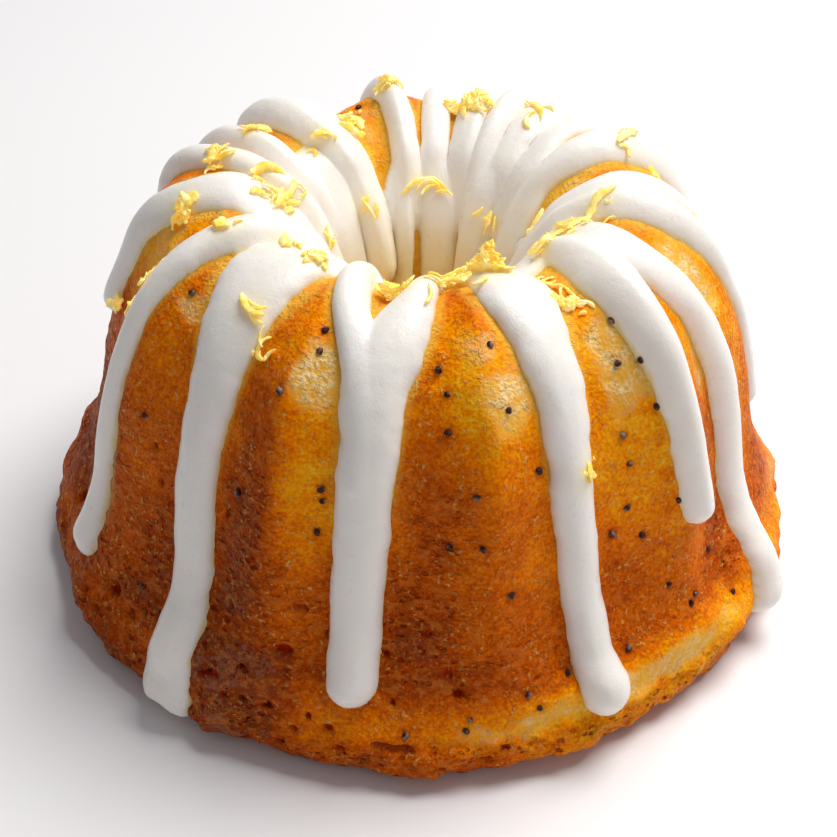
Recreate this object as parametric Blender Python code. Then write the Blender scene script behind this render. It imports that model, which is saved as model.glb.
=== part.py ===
"""Small fluted ring pound cake: ten flutes, poured white icing, lemon zest and poppy seeds.

The cake is one solid. Its surface is worked out from two coordinates:
azimuth, in degrees round the middle, 0 at the front (-Y) and growing towards +X, and
arc, in millimetres along the profile from the crest, positive down the outside and
negative down the hole. The driving dimensions are in millimetres and degrees.
"""
import math

import bmesh
import bpy
import numpy as np

MM = 0.001

# ---- driving dimensions ------------------------------------------------------------------
# Ridge-line profile as (radius, height), from the flat of the base at the hole, up the hole,
# over the crest and down the outside to the flat of the base again.
PROFILE = (
    (14.0, 0.0), (10.6, 1.0), (9.2, 5.0), (9.3, 18.0), (10.2, 32.0), (12.8, 42.5), (17.2, 49.2),
    (23.0, 52.2), (29.6, 51.0), (35.6, 46.4), (39.3, 39.0), (41.6, 30.0), (43.5, 20.5),
    (45.4, 13.5), (47.8, 8.8), (48.7, 5.6), (48.2, 2.6), (46.2, 0.7), (41.0, 0.0),
)
CREST_POINT = 7              # the profile point that arc is measured from

FLUTES = 10
RIDGE_AZIMUTH = 11.0         # one ridge stands here, the others every 36 degrees
RIDGE_ROUNDING = 0.16        # 0 is a knife-edged ridge, 1 a soft wave
# Depth from ridge to groove as (arc, depth): shallow over the crest, deepest on the wall.
FLUTE_DEPTHS = ((-40.0, 0.3), (-14.0, 0.7), (0.0, 1.3), (9.0, 2.4), (16.0, 3.0), (42.0, 2.8),
                (50.0, 1.2), (56.0, 0.5), (61.0, 0.0))

FOOT_FLARE = 1.3             # the batter spread further at the back of the foot
FOOT_START = 44.0            # arc where the foot begins
FOOT_BLEND = 8.0             # and the stretch over which it comes in
CRAG_DEPTH = 0.9             # unevenness of the foot's rim, its cells round and along
CRAG_CELLS = (46, 4.0)
WOBBLE_DEPTH = 0.35          # unevenness of the whole wall, its cells round and along
WOBBLE_CELLS = (9, 17.0)
# Where the shoulder stands out or falls short: azimuth, arc, reach round in degrees, reach
# along, height.
SHOULDERS = ((-111.0, 10.5, 12.0, 7.0, 2.0), (-94.0, 21.0, 12.0, 8.0, -0.9),
             (88.0, 16.0, 12.0, 10.0, -2.0))
LEAN = 1.1                   # the crest stands this far to the right of the base
FLAT_REACH = 4.0             # arc at both ends of the profile that lies flat as the base
FLAT_BLEND = 3.0             # and the stretch over which the relief fades out before it

ICING_SINK = 0.9             # how far the icing's hem lies under the crust
HEM_SPREAD = 1.08            # the sunk hem stands this much wider than the run
ICING_EDGE_POWER = 2.6       # section of a run of icing: 1 - x to this power
COLLAR_EDGE_POWER = 6        # and of the flatter collar
COLLAR = (-41.0, -4.5, 1.5)  # icing all round the hole: lower arc, upper arc, thickness

# Runs of icing: thickness, then (arc, azimuth, width) from the hole to the rounded end.
RUNS = (
    (2.3, ((-16, 0, 3.4), (-4, -1.2, 4.0), (0, -3.2, 4.6), (3, -5.4, 6.2), (6, -7.0, 7.2),
           (11, -9.4, 7.8), (20, -9.9, 6.9), (32, -10.4, 6.6), (44, -10.4, 6.2),
           (52.2, -10.3, 5.9))),
    (1.9, ((-16, -27, 3.4), (-4, -24, 4.2), (0, -21, 4.4), (3, -18.8, 4.6), (7, -15.2, 4.8),
           (13, -12.0, 4.4), (26, -10.6, 3.6))),
    (2.4, ((-16, 16, 3.6), (-5, 21, 6.6), (2, 23, 8.6), (8, 24.2, 7.8), (14, 25.0, 7.0),
           (24, 25.2, 6.0), (34, 25.8, 5.6), (46, 26.8, 5.6), (56.6, 27.4, 6.0))),
    (2.3, ((-16, 62, 3.8), (-6, 56, 6.6), (1, 50, 9.0), (8, 47.2, 6.8), (16, 46.6, 5.2),
           (26, 47.6, 4.8), (38.6, 49.6, 5.2))),
    (2.3, ((-16, 70, 3.8), (-6, 66, 5.6), (2, 62, 6.8), (10, 63.6, 6.0), (22, 67.4, 5.6),
           (34, 69.4, 5.6), (44, 68.0, 5.4), (52, 65, 5.4), (59.4, 62.4, 5.4))),
    (2.0, ((-16, 84, 3.8), (-4, 85, 5.8), (4, 85, 7.2), (12, 85.5, 7.0), (22, 87.6, 5.4),
           (42.0, 90, 5.4))),
    (2.5, ((-16, 92, 3.4), (-4, 93, 5.2), (2, 95, 6.2), (10, 98, 5.4), (22.0, 101, 5.0))),
    (1.7, ((-16, 122, 3.2), (-6, 118.5, 4.2), (2, 116, 5.8), (10, 115, 5.8), (24, 112, 5.0),
           (43.0, 109, 5.6))),
    (1.6, ((-16, 128, 3.6), (-6, 131, 4.4), (2, 132, 4.6), (8, 131, 5.6), (16, 130, 5.4),
           (33.0, 129, 5.2))),
    (1.8, ((-16, 141, 3.4), (-4, 142.5, 4.6), (5, 143, 5.6), (16, 144, 5.2), (49.0, 145, 5.8))),
    (1.9, ((-16, 163, 3.4), (-4, 163.5, 4.2), (6, 163.5, 4.8), (14, 163, 4.6), (37.0, 162, 5.2))),
    (2.0, ((-16, 176, 3.2), (-4, 176.5, 3.6), (4, 177, 3.8), (16, 177, 4.2), (30.0, 178, 5.0))),
    (2.2, ((-16, -172, 3.4), (-4, -170, 3.8), (4, -169, 4.0), (16, -168, 4.6),
           (52.0, -167, 6.0))),
    (3.1, ((-16, -145, 4.2), (-10, -144, 5.4), (-4, -141.5, 7.2), (3, -139.4, 9.2),
           (8, -139.4, 9.2), (16, -141, 7.2), (28, -142, 5.4), (45.0, -143, 6.0))),
    (2.6, ((-16, -118, 3.6), (-6, -116, 4.2), (0, -118, 4.2), (8, -122, 4.1),
           (18, -125, 4.6), (36.0, -126, 5.4))),
    (2.4, ((-16, -99, 3.6), (-6, -101.5, 4.6), (1, -105.5, 4.8), (9, -109.5, 4.8),
           (18, -112, 4.8), (47.0, -113, 5.8))),
    (1.4, ((-16, -84, 3.6), (-6, -86.5, 5.4), (1, -90, 6.4), (6, -91, 5.2), (12, -93.0, 4.6),
           (18, -95, 4.6), (30.0, -96.5, 4.6))),
    (2.4, ((-16, -60, 3.8), (-5, -62, 6.6), (3, -65, 6.8), (10, -66, 5.8), (24, -66.2, 4.8),
           (36, -66.5, 4.8), (46, -66.7, 5.2), (52.8, -66.8, 6.2))),
    (2.4, ((-16, -43, 3.8), (-5, -43.4, 8.4), (3, -45.2, 10.8), (8, -44.4, 9.8),
           (13, -43.4, 8.7), (20, -42.6, 7.2), (36, -41.6, 6.8), (48, -39.8, 6.8),
           (61.4, -39.4, 7.8))),
)

# Shreds of zest: (azimuth, arc, heading, length, width). Heading 0 points down the profile.
ZEST = (
    (20, -1.5, 70, 5.0, 2.8), (17, -4.4, 100, 4.0, 2.0), (-10, -0.5, 85, 4.2, 2.2),
    (-13, -3.4, 60, 3.4, 1.4), (4, -1.6, 82, 5.6, 1.2), (8, -4.6, 95, 5.4, 1.1),
    (35, 5.4, 10, 5.8, 1.2), (37, 4.0, 35, 4.6, 1.0), (33, 2.2, 350, 4.4, 1.0),
    (64, -2.0, 60, 6.0, 1.0), (72, -2.5, 35, 5.4, 1.0), (58, -3.5, 75, 4.0, 1.0),
    (92, -9.0, 20, 3.6, 1.0), (131, -13.0, 0, 3.2, 1.0), (176, -12.0, 90, 5.6, 0.9),
    (162, -1.0, 40, 5.0, 1.2), (154, -0.5, 70, 4.6, 1.1), (140, 2.0, 55, 5.2, 1.1),
    (137, 6.5, 20, 4.0, 1.0), (102, 6.5, 80, 4.6, 1.3), (92, 10.5, 50, 4.4, 1.1),
    (-155, -0.5, 15, 5.2, 1.3), (-149, -4.0, 70, 4.2, 1.2), (-140, -13.5, 20, 3.0, 1.1),
    (-97, 1.5, 25, 4.6, 1.2), (-104, 5.0, 60, 4.0, 1.2), (-76, 4.4, 10, 4.4, 1.7),
    (-64, 1.8, 80, 3.0, 1.3), (-86, -4.8, 20, 5.4, 1.0), (-78, -6.0, 340, 5.0, 1.0),
    (-48, -1.2, 70, 3.2, 1.2), (-35, -2.2, 30, 4.2, 1.4), (-70, 11.0, 60, 3.4, 1.2),
    (-71, 17.0, 85, 5.4, 1.2), (-36, 7.4, 75, 4.6, 1.1), (-29, 10.7, 5, 3.8, 1.4),
    (27.6, 23.5, 5, 2.6, 1.6), (-120, 2.0, 50, 4.0, 1.0), (115, 3.0, 30, 4.4, 1.0),
)
ZEST_THICKNESS = 0.5
ZEST_RISE = 0.7              # how high a shred arches over what it lies on
ZEST_CURL = 0.25             # sideways bend, in widths
ZEST_STATIONS = 4
ZEST_SECTION = ((0.0, -0.7), (0.5, 0.3), (-0.5, 0.3))    # across in widths, up in thicknesses

SEED_RADIUS = 0.52
SEED_FLATNESS = 0.85
SEED_TRIES = 150
SEED_SPACING = 3.4
SEED_ARCS = (2.0, 56.0)      # seeds show between these arcs
SEED_CROWDING = 0.8          # under 1, more of the draws fall low on the wall
SEED_CLEARANCE = 1.1         # bare crust needed round a seed
SEED_LIFT = 0.1              # height of a seed's middle over the crust

AZIMUTH_STEPS = FLUTES * 8
BODY_ARCS = (-44, -14, -4, 1, 6, 11, 16.5, 24, 32, 40, 46, 50, 53.5, 57, 60, 63)
COLLAR_STEPS = (FLUTES * 4, 6)
RUN_SECTION = (-1.0, -0.74, 0.0, 0.74, 1.0)
RUN_STEP = 5.6
TIP_TURNS = (0, 40, 72)      # degrees round a run's tip at which it has a section
THINNEST = 0.3               # half width of the last one
BARE = -5.0                  # icing_height where there is none
SHARP_ANGLE = 50.0

CRUST_COLOUR = (0.62, 0.27, 0.05, 1.0)
CRUST_ROUGHNESS = 0.75
RANDOM_SEED = 7


# ---- small mathematics --------------------------------------------------------------------
def smooth_curve(x, xs, ys):
    """Value at x of a smooth curve through (xs, ys): cubics whose slopes at the points are
    the mean slopes of their neighbours, held level past both ends."""
    xs, ys = np.asarray(xs, float), np.asarray(ys, float)
    slopes = np.gradient(ys, xs)
    x = np.clip(x, xs[0], xs[-1])
    i = np.clip(np.searchsorted(xs, x) - 1, 0, len(xs) - 2)
    span = xs[i + 1] - xs[i]
    t = (x - xs[i]) / span
    start = (1 + 2 * t) * (1 - t) ** 2 * ys[i] + t * (1 - t) ** 2 * span * slopes[i]
    end = t * t * (3 - 2 * t) * ys[i + 1] - t * t * (1 - t) * span * slopes[i + 1]
    return start + end


def lattice_noise(azimuth, arc, cells_round, cell_arc, seed):
    """Smooth noise from -1 to 1 on a lattice of random values that closes round the cake."""
    table = np.random.default_rng(seed).uniform(-1, 1, (cells_round, 64))
    u = np.mod(azimuth, 360.0) / 360.0 * cells_round
    v = np.asarray(arc) / cell_arc + 32.0
    i, j = np.floor(u).astype(int), np.floor(v).astype(int)
    fu, fv = u - i, v - j
    fu, fv = fu * fu * (3 - 2 * fu), fv * fv * (3 - 2 * fv)
    i0, i1, j0, j1 = i % cells_round, (i + 1) % cells_round, j % 64, (j + 1) % 64
    low = table[i0, j0] * (1 - fu) + table[i1, j0] * fu
    high = table[i0, j1] * (1 - fu) + table[i1, j1] * fu
    return low * (1 - fv) + high * fv


def profile_table():
    """Arc, radius, height and outward normal at close steps along the profile."""
    points = np.array(PROFILE)
    steps = np.hypot(*np.diff(points, axis=0).T)
    chord = np.concatenate(([0.0], np.cumsum(steps)))
    fine = np.linspace(0.0, chord[-1], 600)
    radius = smooth_curve(fine, chord, points[:, 0])
    height = np.maximum(smooth_curve(fine, chord, points[:, 1]), 0.0)
    arc = np.concatenate(([0.0], np.cumsum(np.hypot(np.diff(radius), np.diff(height)))))
    arc -= np.interp(chord[CREST_POINT], fine, arc)
    run, rise = np.gradient(radius, arc), np.gradient(height, arc)
    length = np.hypot(run, rise)
    return arc, radius, height, -rise / length, run / length


TABLE = profile_table()
ARC_LOW, ARC_HIGH = TABLE[0][0], TABLE[0][-1]


# ---- the cake's surface -------------------------------------------------------------------
def turn_between(azimuth, middle):
    """Degrees from middle to azimuth, the short way round."""
    return np.mod(azimuth - middle + 180.0, 360.0) - 180.0


def flute_offset(azimuth, arc):
    """Depth under the ridge line: 0 on a ridge, growing straight down its two sides and
    rounding off in the groove, as the size of a sine does, with the ridge eased a little."""
    phase = (azimuth - RIDGE_AZIMUTH) / (360.0 / FLUTES)
    side = np.sqrt(np.sin(math.pi * phase) ** 2 + RIDGE_ROUNDING ** 2) - RIDGE_ROUNDING
    side /= math.hypot(1.0, RIDGE_ROUNDING) - RIDGE_ROUNDING
    arcs, depths = zip(*FLUTE_DEPTHS)
    return side * np.interp(arc, arcs, depths)


def relief(azimuth, arc):
    """Slow unevenness of the wall and the shoulder, with crags on the foot, fading out at
    the flat base."""
    foot = np.clip((arc - FOOT_START) / FOOT_BLEND, 0.0, 1.0)
    calm = np.clip((ARC_HIGH - FLAT_REACH - arc) / FLAT_BLEND, 0.0, 1.0)
    calm = calm * np.clip((arc - ARC_LOW - FLAT_REACH) / FLAT_BLEND, 0.0, 1.0)
    slow = WOBBLE_DEPTH * lattice_noise(azimuth, arc, *WOBBLE_CELLS, seed=3)
    for middle, along, wide, far, height in SHOULDERS:
        away = (turn_between(azimuth, middle) / wide) ** 2 + ((arc - along) / far) ** 2
        slow = slow + height * np.exp(-away)
    crags = CRAG_DEPTH * lattice_noise(azimuth, arc, *CRAG_CELLS, seed=4)
    flare = FOOT_FLARE * np.sin(np.radians(azimuth) / 2.0) ** 2
    return calm * (slow + foot * (crags + flare))


def crust_point(azimuth, arc, lift=0.0):
    """Point on the crust, raised by lift along the profile's normal, in millimetres."""
    azimuth, arc = np.broadcast_arrays(np.asarray(azimuth, float), np.asarray(arc, float))
    table_arc, radius, height, normal_r, normal_z = TABLE
    out = relief(azimuth, arc) - flute_offset(azimuth, arc) + lift
    r = np.interp(arc, table_arc, radius) + out * np.interp(arc, table_arc, normal_r)
    z = np.interp(arc, table_arc, height) + out * np.interp(arc, table_arc, normal_z)
    angle = np.radians(azimuth)
    lean = LEAN * np.clip(z / PROFILE[CREST_POINT][1], 0.0, 1.2)
    return np.stack([r * np.sin(angle) + lean, -r * np.cos(angle), z], axis=-1)


def millimetres_per_degree(arc):
    return np.radians(1.0) * np.interp(arc, TABLE[0], TABLE[1])


def run_width(run, arc):
    """Half width of a run of icing at an arc, drawn in to a round tip at its end."""
    arcs, _, widths = zip(*run[1])
    half = smooth_curve(arc, arcs, widths) / 2.0
    tip = np.clip((arc - (arcs[-1] - widths[-1] / 2.0)) / (widths[-1] / 2.0), 0.0, 1.0)
    return half * np.sqrt(1.0 - tip ** 2)


def run_azimuth(run, arc):
    arcs, azimuths, _ = zip(*run[1])
    return smooth_curve(arc, arcs, azimuths)


def icing_height(azimuth, arc):
    """Height of the icing over the crust: the highest run here, negative on bare crust."""
    best = np.full(np.shape(arc + azimuth), BARE)
    for run in RUNS:
        thickness, stations = run
        half = np.maximum(run_width(run, arc), THINNEST / 2.0)
        side = turn_between(azimuth, run_azimuth(run, arc))
        x = np.abs(side) * millimetres_per_degree(arc) / half
        height = thickness * (1.0 - x ** ICING_EDGE_POWER)
        inside = (arc >= stations[0][0]) & (arc <= stations[-1][0])
        best = np.where(inside, np.maximum(best, height), best)
    low, high, thickness = COLLAR
    middle, half = (low + high) / 2.0, (high - low) / 2.0
    collar = thickness * (1.0 - np.abs((arc - middle) / half) ** COLLAR_EDGE_POWER)
    return np.maximum(best, np.where(np.abs(arc - middle) < half + 1.0, collar, BARE))


# ---- building blocks ----------------------------------------------------------------------
def object_from(name, bm):
    """Turn a bmesh in millimetres into an object in metres."""
    bmesh.ops.scale(bm, vec=(MM, MM, MM), verts=bm.verts)
    bmesh.ops.recalc_face_normals(bm, faces=bm.faces)
    mesh = bpy.data.meshes.new(name)
    bm.to_mesh(mesh)
    bm.free()
    made = bpy.data.objects.new(name, mesh)
    bpy.context.scene.collection.objects.link(made)
    return made


def bridge(bm, first, second, closed):
    """Quads between two rows of vertices."""
    count = len(first) if closed else len(first) - 1
    for i in range(count):
        k = (i + 1) % len(first)
        bm.faces.new((first[i], first[k], second[k], second[i]))


def tube(name, rows, closed_round, capped):
    """Closed mesh from rows of points: each row is a loop, and the rows either come back to
    the first one or end in caps."""
    bm = bmesh.new()
    loops = [[bm.verts.new(point) for point in row] for row in rows]
    for first, second in zip(loops, loops[1:]):
        bridge(bm, first, second, True)
    if closed_round:
        bridge(bm, loops[-1], loops[0], True)
    if capped:
        bm.faces.new(loops[0])
        bm.faces.new(loops[-1])
    return object_from(name, bm)


# ---- the pieces ---------------------------------------------------------------------------
def make_body():
    """The fluted ring: rings of the profile, joined under the base by its flat face."""
    azimuths = np.arange(AZIMUTH_STEPS) * 360.0 / AZIMUTH_STEPS + RIDGE_AZIMUTH
    arcs = [ARC_LOW] + [a for a in BODY_ARCS if ARC_LOW + 1 < a < ARC_HIGH - 1] + [ARC_HIGH]
    rows = [crust_point(azimuths, arc) for arc in arcs]
    return tube("pound_cake", rows, True, False)


def make_collar():
    """Icing all round the hole, its hems and its back sunk in the crust."""
    around, along = COLLAR_STEPS
    azimuths = np.arange(around) * 360.0 / around
    low, high, thickness = COLLAR
    arcs = np.linspace(low, high, along)
    lifts = np.full(along, thickness)
    lifts[[0, -1]] = -ICING_SINK
    front = [crust_point(azimuths, arc, lift) for arc, lift in zip(arcs, lifts)]
    back = [crust_point(azimuths, arc, -2.0 * ICING_SINK) for arc in arcs[-2:0:-1]]
    return tube("icing_collar", front + back, True, False)


def make_run(number, run):
    """One run of icing: its domed section carried along its path, closed by a flat back."""
    thickness, stations = run
    start, end = stations[0][0], stations[-1][0]
    tip = stations[-1][2] / 2.0
    count = max(3, round((end - tip - start) / RUN_STEP))
    arcs = np.concatenate((np.linspace(start, end - tip, count, endpoint=False),
                           end - tip * (1.0 - np.sin(np.radians(TIP_TURNS)))))
    section = np.array(RUN_SECTION)
    lifts = thickness * (1.0 - np.abs(section) ** ICING_EDGE_POWER)
    lifts[[0, -1]] = -ICING_SINK
    reach = section.copy()
    reach[[0, -1]] *= HEM_SPREAD
    rows = []
    for arc in arcs:
        half = max(run_width(run, arc), THINNEST)
        centre = run_azimuth(run, arc)
        rows.append(crust_point(centre + reach * half / millimetres_per_degree(arc), arc,
                                lifts))
    return tube(f"icing_run_{number}", rows, False, True)


def make_shred(number, shred):
    """One shred of zest: a flat strip that arches over what it lies on, its ends sunk in."""
    azimuth, arc, heading, length, width = shred
    turn = math.radians(heading)
    rows = []
    for step in np.linspace(-0.5, 0.5, ZEST_STATIONS):
        spine = step * length
        bend = math.sin(step * math.pi * 1.3) * ZEST_CURL * width
        rise = ZEST_RISE * (1.0 - (2.0 * step) ** 2)
        row = []
        for side, high in ZEST_SECTION:
            across = side * width * (1.0 - 0.5 * abs(2.0 * step) ** 3) + bend
            down = spine * math.cos(turn) - across * math.sin(turn)
            round_ = spine * math.sin(turn) + across * math.cos(turn)
            a = arc + down
            z = azimuth + round_ / millimetres_per_degree(a)
            ground = max(float(icing_height(z, a)), 0.0)
            row.append(crust_point(z, a, ground + rise + ZEST_THICKNESS * high))
        rows.append(np.array(row))
    return tube(f"zest_{number}", rows, False, True)


def seed_places():
    """Azimuth and arc of each poppy seed: random draws kept where the crust is bare and no
    other seed is near."""
    rng = np.random.default_rng(RANDOM_SEED)
    draws = rng.random((SEED_TRIES, 2))
    azimuths = 360.0 * draws[:, 0]
    arcs = SEED_ARCS[0] + (SEED_ARCS[1] - SEED_ARCS[0]) * draws[:, 1] ** SEED_CROWDING
    bare = icing_height(azimuths, arcs) < -SEED_CLEARANCE
    kept = []
    for azimuth, arc in zip(azimuths[bare], arcs[bare]):
        scale = float(millimetres_per_degree(arc))
        gaps = [math.hypot((azimuth - a) * scale, arc - s) for a, s in kept]
        if not gaps or min(gaps) > SEED_SPACING:
            kept.append((azimuth, arc))
    return kept


def make_seed(number, place):
    """One poppy seed: a small faceted ball, a little flattened, half sunk in the crust."""
    bm = bmesh.new()
    bmesh.ops.create_icosphere(bm, subdivisions=1, radius=SEED_RADIUS)
    bmesh.ops.scale(bm, vec=(1.0, SEED_FLATNESS, SEED_FLATNESS), verts=bm.verts)
    centre = crust_point(*place, SEED_LIFT)
    bmesh.ops.translate(bm, vec=centre, verts=bm.verts)
    return object_from(f"seed_{number}", bm)


def fuse(body, toppings):
    """One Boolean union of the body with a collection of toppings, applied; then only the
    largest shell is kept, which fills sealed hollows and drops loose scraps. The solver is
    MANIFOLD because EXACT leaves 20 edges here that don't lie between two faces."""
    group = bpy.data.collections.new("toppings")
    bpy.context.scene.collection.children.link(group)
    for topping in toppings:
        bpy.context.scene.collection.objects.unlink(topping)
        group.objects.link(topping)
    union = body.modifiers.new("toppings", 'BOOLEAN')
    union.operation = 'UNION'
    union.operand_type = 'COLLECTION'
    union.collection = group
    union.solver = 'MANIFOLD'
    bpy.context.view_layer.update()
    fused = bpy.data.meshes.new_from_object(
        body.evaluated_get(bpy.context.evaluated_depsgraph_get()))
    body.modifiers.clear()
    body.data = fused
    for topping in toppings:
        bpy.data.objects.remove(topping, do_unlink=True)
    bpy.data.collections.remove(group)
    keep_largest_shell(body.data)


def keep_largest_shell(mesh):
    """Delete every group of joined vertices but the largest, and split faces to triangles."""
    bm = bmesh.new()
    bm.from_mesh(mesh)
    unseen = set(bm.verts)
    shells = []
    while unseen:
        shell, front = set(), [unseen.pop()]
        while front:
            vert = front.pop()
            shell.add(vert)
            for edge in vert.link_edges:
                other = edge.other_vert(vert)
                if other in unseen:
                    unseen.remove(other)
                    front.append(other)
        shells.append(shell)
    shells.sort(key=len, reverse=True)
    for scrap in shells[1:]:
        bmesh.ops.delete(bm, geom=list(scrap), context='VERTS')
    bmesh.ops.triangulate(bm, faces=bm.faces)
    bm.to_mesh(mesh)
    bm.free()


def crust_material():
    material = bpy.data.materials.new("golden_crust")
    material.use_nodes = True
    shader = material.node_tree.nodes["Principled BSDF"]
    shader.inputs["Base Color"].default_value = CRUST_COLOUR
    shader.inputs["Roughness"].default_value = CRUST_ROUGHNESS
    shader.inputs["Metallic"].default_value = 0.0
    return material


def main():
    for old in list(bpy.data.objects):
        bpy.data.objects.remove(old, do_unlink=True)
    cake = make_body()
    toppings = [make_collar()]
    toppings += [make_run(number, run) for number, run in enumerate(RUNS)]
    toppings += [make_shred(number, shred) for number, shred in enumerate(ZEST)]
    toppings += [make_seed(number, place) for number, place in enumerate(seed_places())]
    fuse(cake, toppings)
    cake.data.materials.clear()
    cake.data.materials.append(crust_material())
    cake.data.shade_smooth()
    cake.data.set_sharp_from_angle(angle=math.radians(SHARP_ANGLE))


main()
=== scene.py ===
# %% [markdown]
# # A small fluted ring pound cake
# The real thing is a cake for one or two people, baked upside down in a fluted ring mould:
# a golden-brown crust with ten flutes, a foot of crisp batter where the mould was filled to
# the brim, white icing poured over the crown so that it ran down in ropes, shreds of lemon
# zest, and poppy seeds that show in the crust. This script dresses the solid of the cake that
# the frame holds. First it loads that frame.

import math
from types import SimpleNamespace

import bpy
import numpy as np
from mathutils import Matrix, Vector


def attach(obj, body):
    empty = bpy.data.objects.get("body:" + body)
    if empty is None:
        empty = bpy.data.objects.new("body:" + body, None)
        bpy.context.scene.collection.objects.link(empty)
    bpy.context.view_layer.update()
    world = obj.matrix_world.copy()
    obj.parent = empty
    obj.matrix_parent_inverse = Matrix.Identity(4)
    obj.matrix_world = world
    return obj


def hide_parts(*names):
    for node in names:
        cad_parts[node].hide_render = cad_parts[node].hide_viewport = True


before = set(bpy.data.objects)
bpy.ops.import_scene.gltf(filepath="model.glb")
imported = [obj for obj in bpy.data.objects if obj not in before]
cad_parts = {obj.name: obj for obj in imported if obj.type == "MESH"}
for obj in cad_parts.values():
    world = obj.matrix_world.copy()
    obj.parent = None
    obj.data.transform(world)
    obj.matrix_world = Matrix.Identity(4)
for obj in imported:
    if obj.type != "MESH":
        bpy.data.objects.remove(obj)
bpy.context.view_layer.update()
CAKE = "pound_cake"
BODY = "root"
MM = 0.001

# %% [markdown]
# ## Two coordinates for the whole cake
# A ring cake could be sculpted, but a turned shape is easier to describe by two numbers.
# Azimuth is the angle round the middle, in degrees, 0 at the front and growing to the right.
# Arc is the distance along the profile from the crest, in millimetres, positive down the
# outside and negative down the hole. Icing, zest and seeds are then placed as on a map.

# %% The profile along the ridges
PROFILE = (
    (14.0, 0.0), (10.6, 1.0), (9.2, 5.0), (9.3, 18.0), (10.2, 32.0), (12.8, 42.5), (17.2, 49.2),
    (23.0, 52.2), (29.6, 51.0), (35.6, 46.4), (39.3, 39.0), (41.6, 30.0), (43.5, 20.5),
    (45.4, 13.5), (47.8, 8.8), (48.7, 5.6), (48.2, 2.6), (46.2, 0.7), (41.0, 0.0),
)
CREST_POINT = 7
PROFILE_STEPS = 600


def eased(t):
    """Smooth step from 0 to 1, level at both ends: three squares of t less two cubes."""
    return t * t * (3 - 2 * t)


def smooth_curve(x, xs, ys):
    """Value at x of a smooth curve through (xs, ys): on each span, the cubic whose slopes at
    its ends are the mean slopes of the neighbouring spans."""
    xs, ys = np.asarray(xs, float), np.asarray(ys, float)
    slopes = np.gradient(ys, xs)
    x = np.clip(x, xs[0], xs[-1])
    i = np.clip(np.searchsorted(xs, x) - 1, 0, len(xs) - 2)
    span = xs[i + 1] - xs[i]
    t = (x - xs[i]) / span
    start = (1 + 2 * t) * (1 - t) ** 2 * ys[i] + t * (1 - t) ** 2 * span * slopes[i]
    end = eased(t) * ys[i + 1] - t * t * (1 - t) * span * slopes[i + 1]
    return start + end


def profile_table():
    """Arc, radius, height and outward normal at close steps along the profile. The normal is
    the direction of travel turned by a right angle."""
    points = np.array(PROFILE)
    chord = np.concatenate(([0.0], np.cumsum(np.hypot(*np.diff(points, axis=0).T))))
    fine = np.linspace(0.0, chord[-1], PROFILE_STEPS)
    radius = smooth_curve(fine, chord, points[:, 0])
    height = np.maximum(smooth_curve(fine, chord, points[:, 1]), 0.0)
    arc = np.concatenate(([0.0], np.cumsum(np.hypot(np.diff(radius), np.diff(height)))))
    arc -= np.interp(chord[CREST_POINT], fine, arc)
    run, rise = np.gradient(radius, arc), np.gradient(height, arc)
    length = np.hypot(run, rise)
    return arc, radius, height, -rise / length, run / length


TABLE = profile_table()
ARC_LOW, ARC_HIGH = TABLE[0][0], TABLE[0][-1]
print(f"the profile runs from arc {ARC_LOW:.1f} to {ARC_HIGH:.1f} mm")

# %% [markdown]
# ## Random numbers that always agree
# Baked batter is uneven at every size. Blender has noise textures, but a shape made by them
# would need a modifier, so the relief here is computed: random values on the corners of small
# cubes, blended across each cube, and a second function that strews round holes. Both are
# seeded, so that every run gives the same cake.

# %% Noise and holes in space
TABLE_SIDE, LATTICE_ROWS = 32, 64
HOLE_CENTRES, HOLE_RADII, NO_RADIUS = (0.15, 0.85), (0.28, 0.6), 1e-6
# The number that starts each of the other draws.
DRAW_SEEDS, DRAW_BUBBLES, DRAW_STRIPS, DRAW_SECTIONS, DRAW_TURNS = 21, 52, 17, 18, 22


def soft_noise(points, cell, seed):
    """Smooth noise from -1 to 1: random values at the corners of cubes of side cell, blended
    by a smooth step along each axis."""
    table = np.random.default_rng(seed).uniform(-1, 1, (TABLE_SIDE,) * 3)
    place = points / cell
    corner = np.floor(place).astype(int)
    inside = eased(place - corner)
    total = np.zeros(points.shape[:-1])
    for offset in np.ndindex(2, 2, 2):
        weight = np.prod(np.where(offset, inside, 1 - inside), axis=-1)
        i, j, k = np.moveaxis((corner + offset) % TABLE_SIDE, -1, 0)
        total += weight * table[i, j, k]
    return total


def rough_noise(points, strength, cell, octaves, seed):
    """Strength times a sum of noises, each half as large and half as strong as the last."""
    return strength * sum(soft_noise(points, cell / 2 ** n, seed + n) / 2 ** n
                          for n in range(octaves))


def holes(points, cell, share, seed):
    """Round hollows: each cube of side cell has one centre and radius drawn at random, and
    this share of them is used. 1 at a centre, falling to 0 at its radius."""
    rng = np.random.default_rng(seed)
    centres = rng.uniform(*HOLE_CENTRES, (TABLE_SIDE, TABLE_SIDE, TABLE_SIDE, 3))
    radii = rng.uniform(*HOLE_RADII, (TABLE_SIDE,) * 3)
    radii *= rng.uniform(0, 1, (TABLE_SIDE,) * 3) < share
    place = points / cell
    home = np.floor(place).astype(int)
    depth = np.zeros(points.shape[:-1])
    for offset in np.ndindex(3, 3, 3):
        cube = home + np.array(offset) - 1
        i, j, k = np.moveaxis(cube % TABLE_SIDE, -1, 0)
        away = np.linalg.norm(place - cube - centres[i, j, k], axis=-1)
        near = 1 - np.clip(away / np.maximum(radii[i, j, k], NO_RADIUS), 0, 1)
        depth = np.maximum(depth, eased(near))
    return depth


def ramp(x, low, high):
    """0 below low, 1 above high, and a smooth step between them; low may be the larger."""
    return eased(np.clip((x - low) / (high - low), 0, 1))


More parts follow.
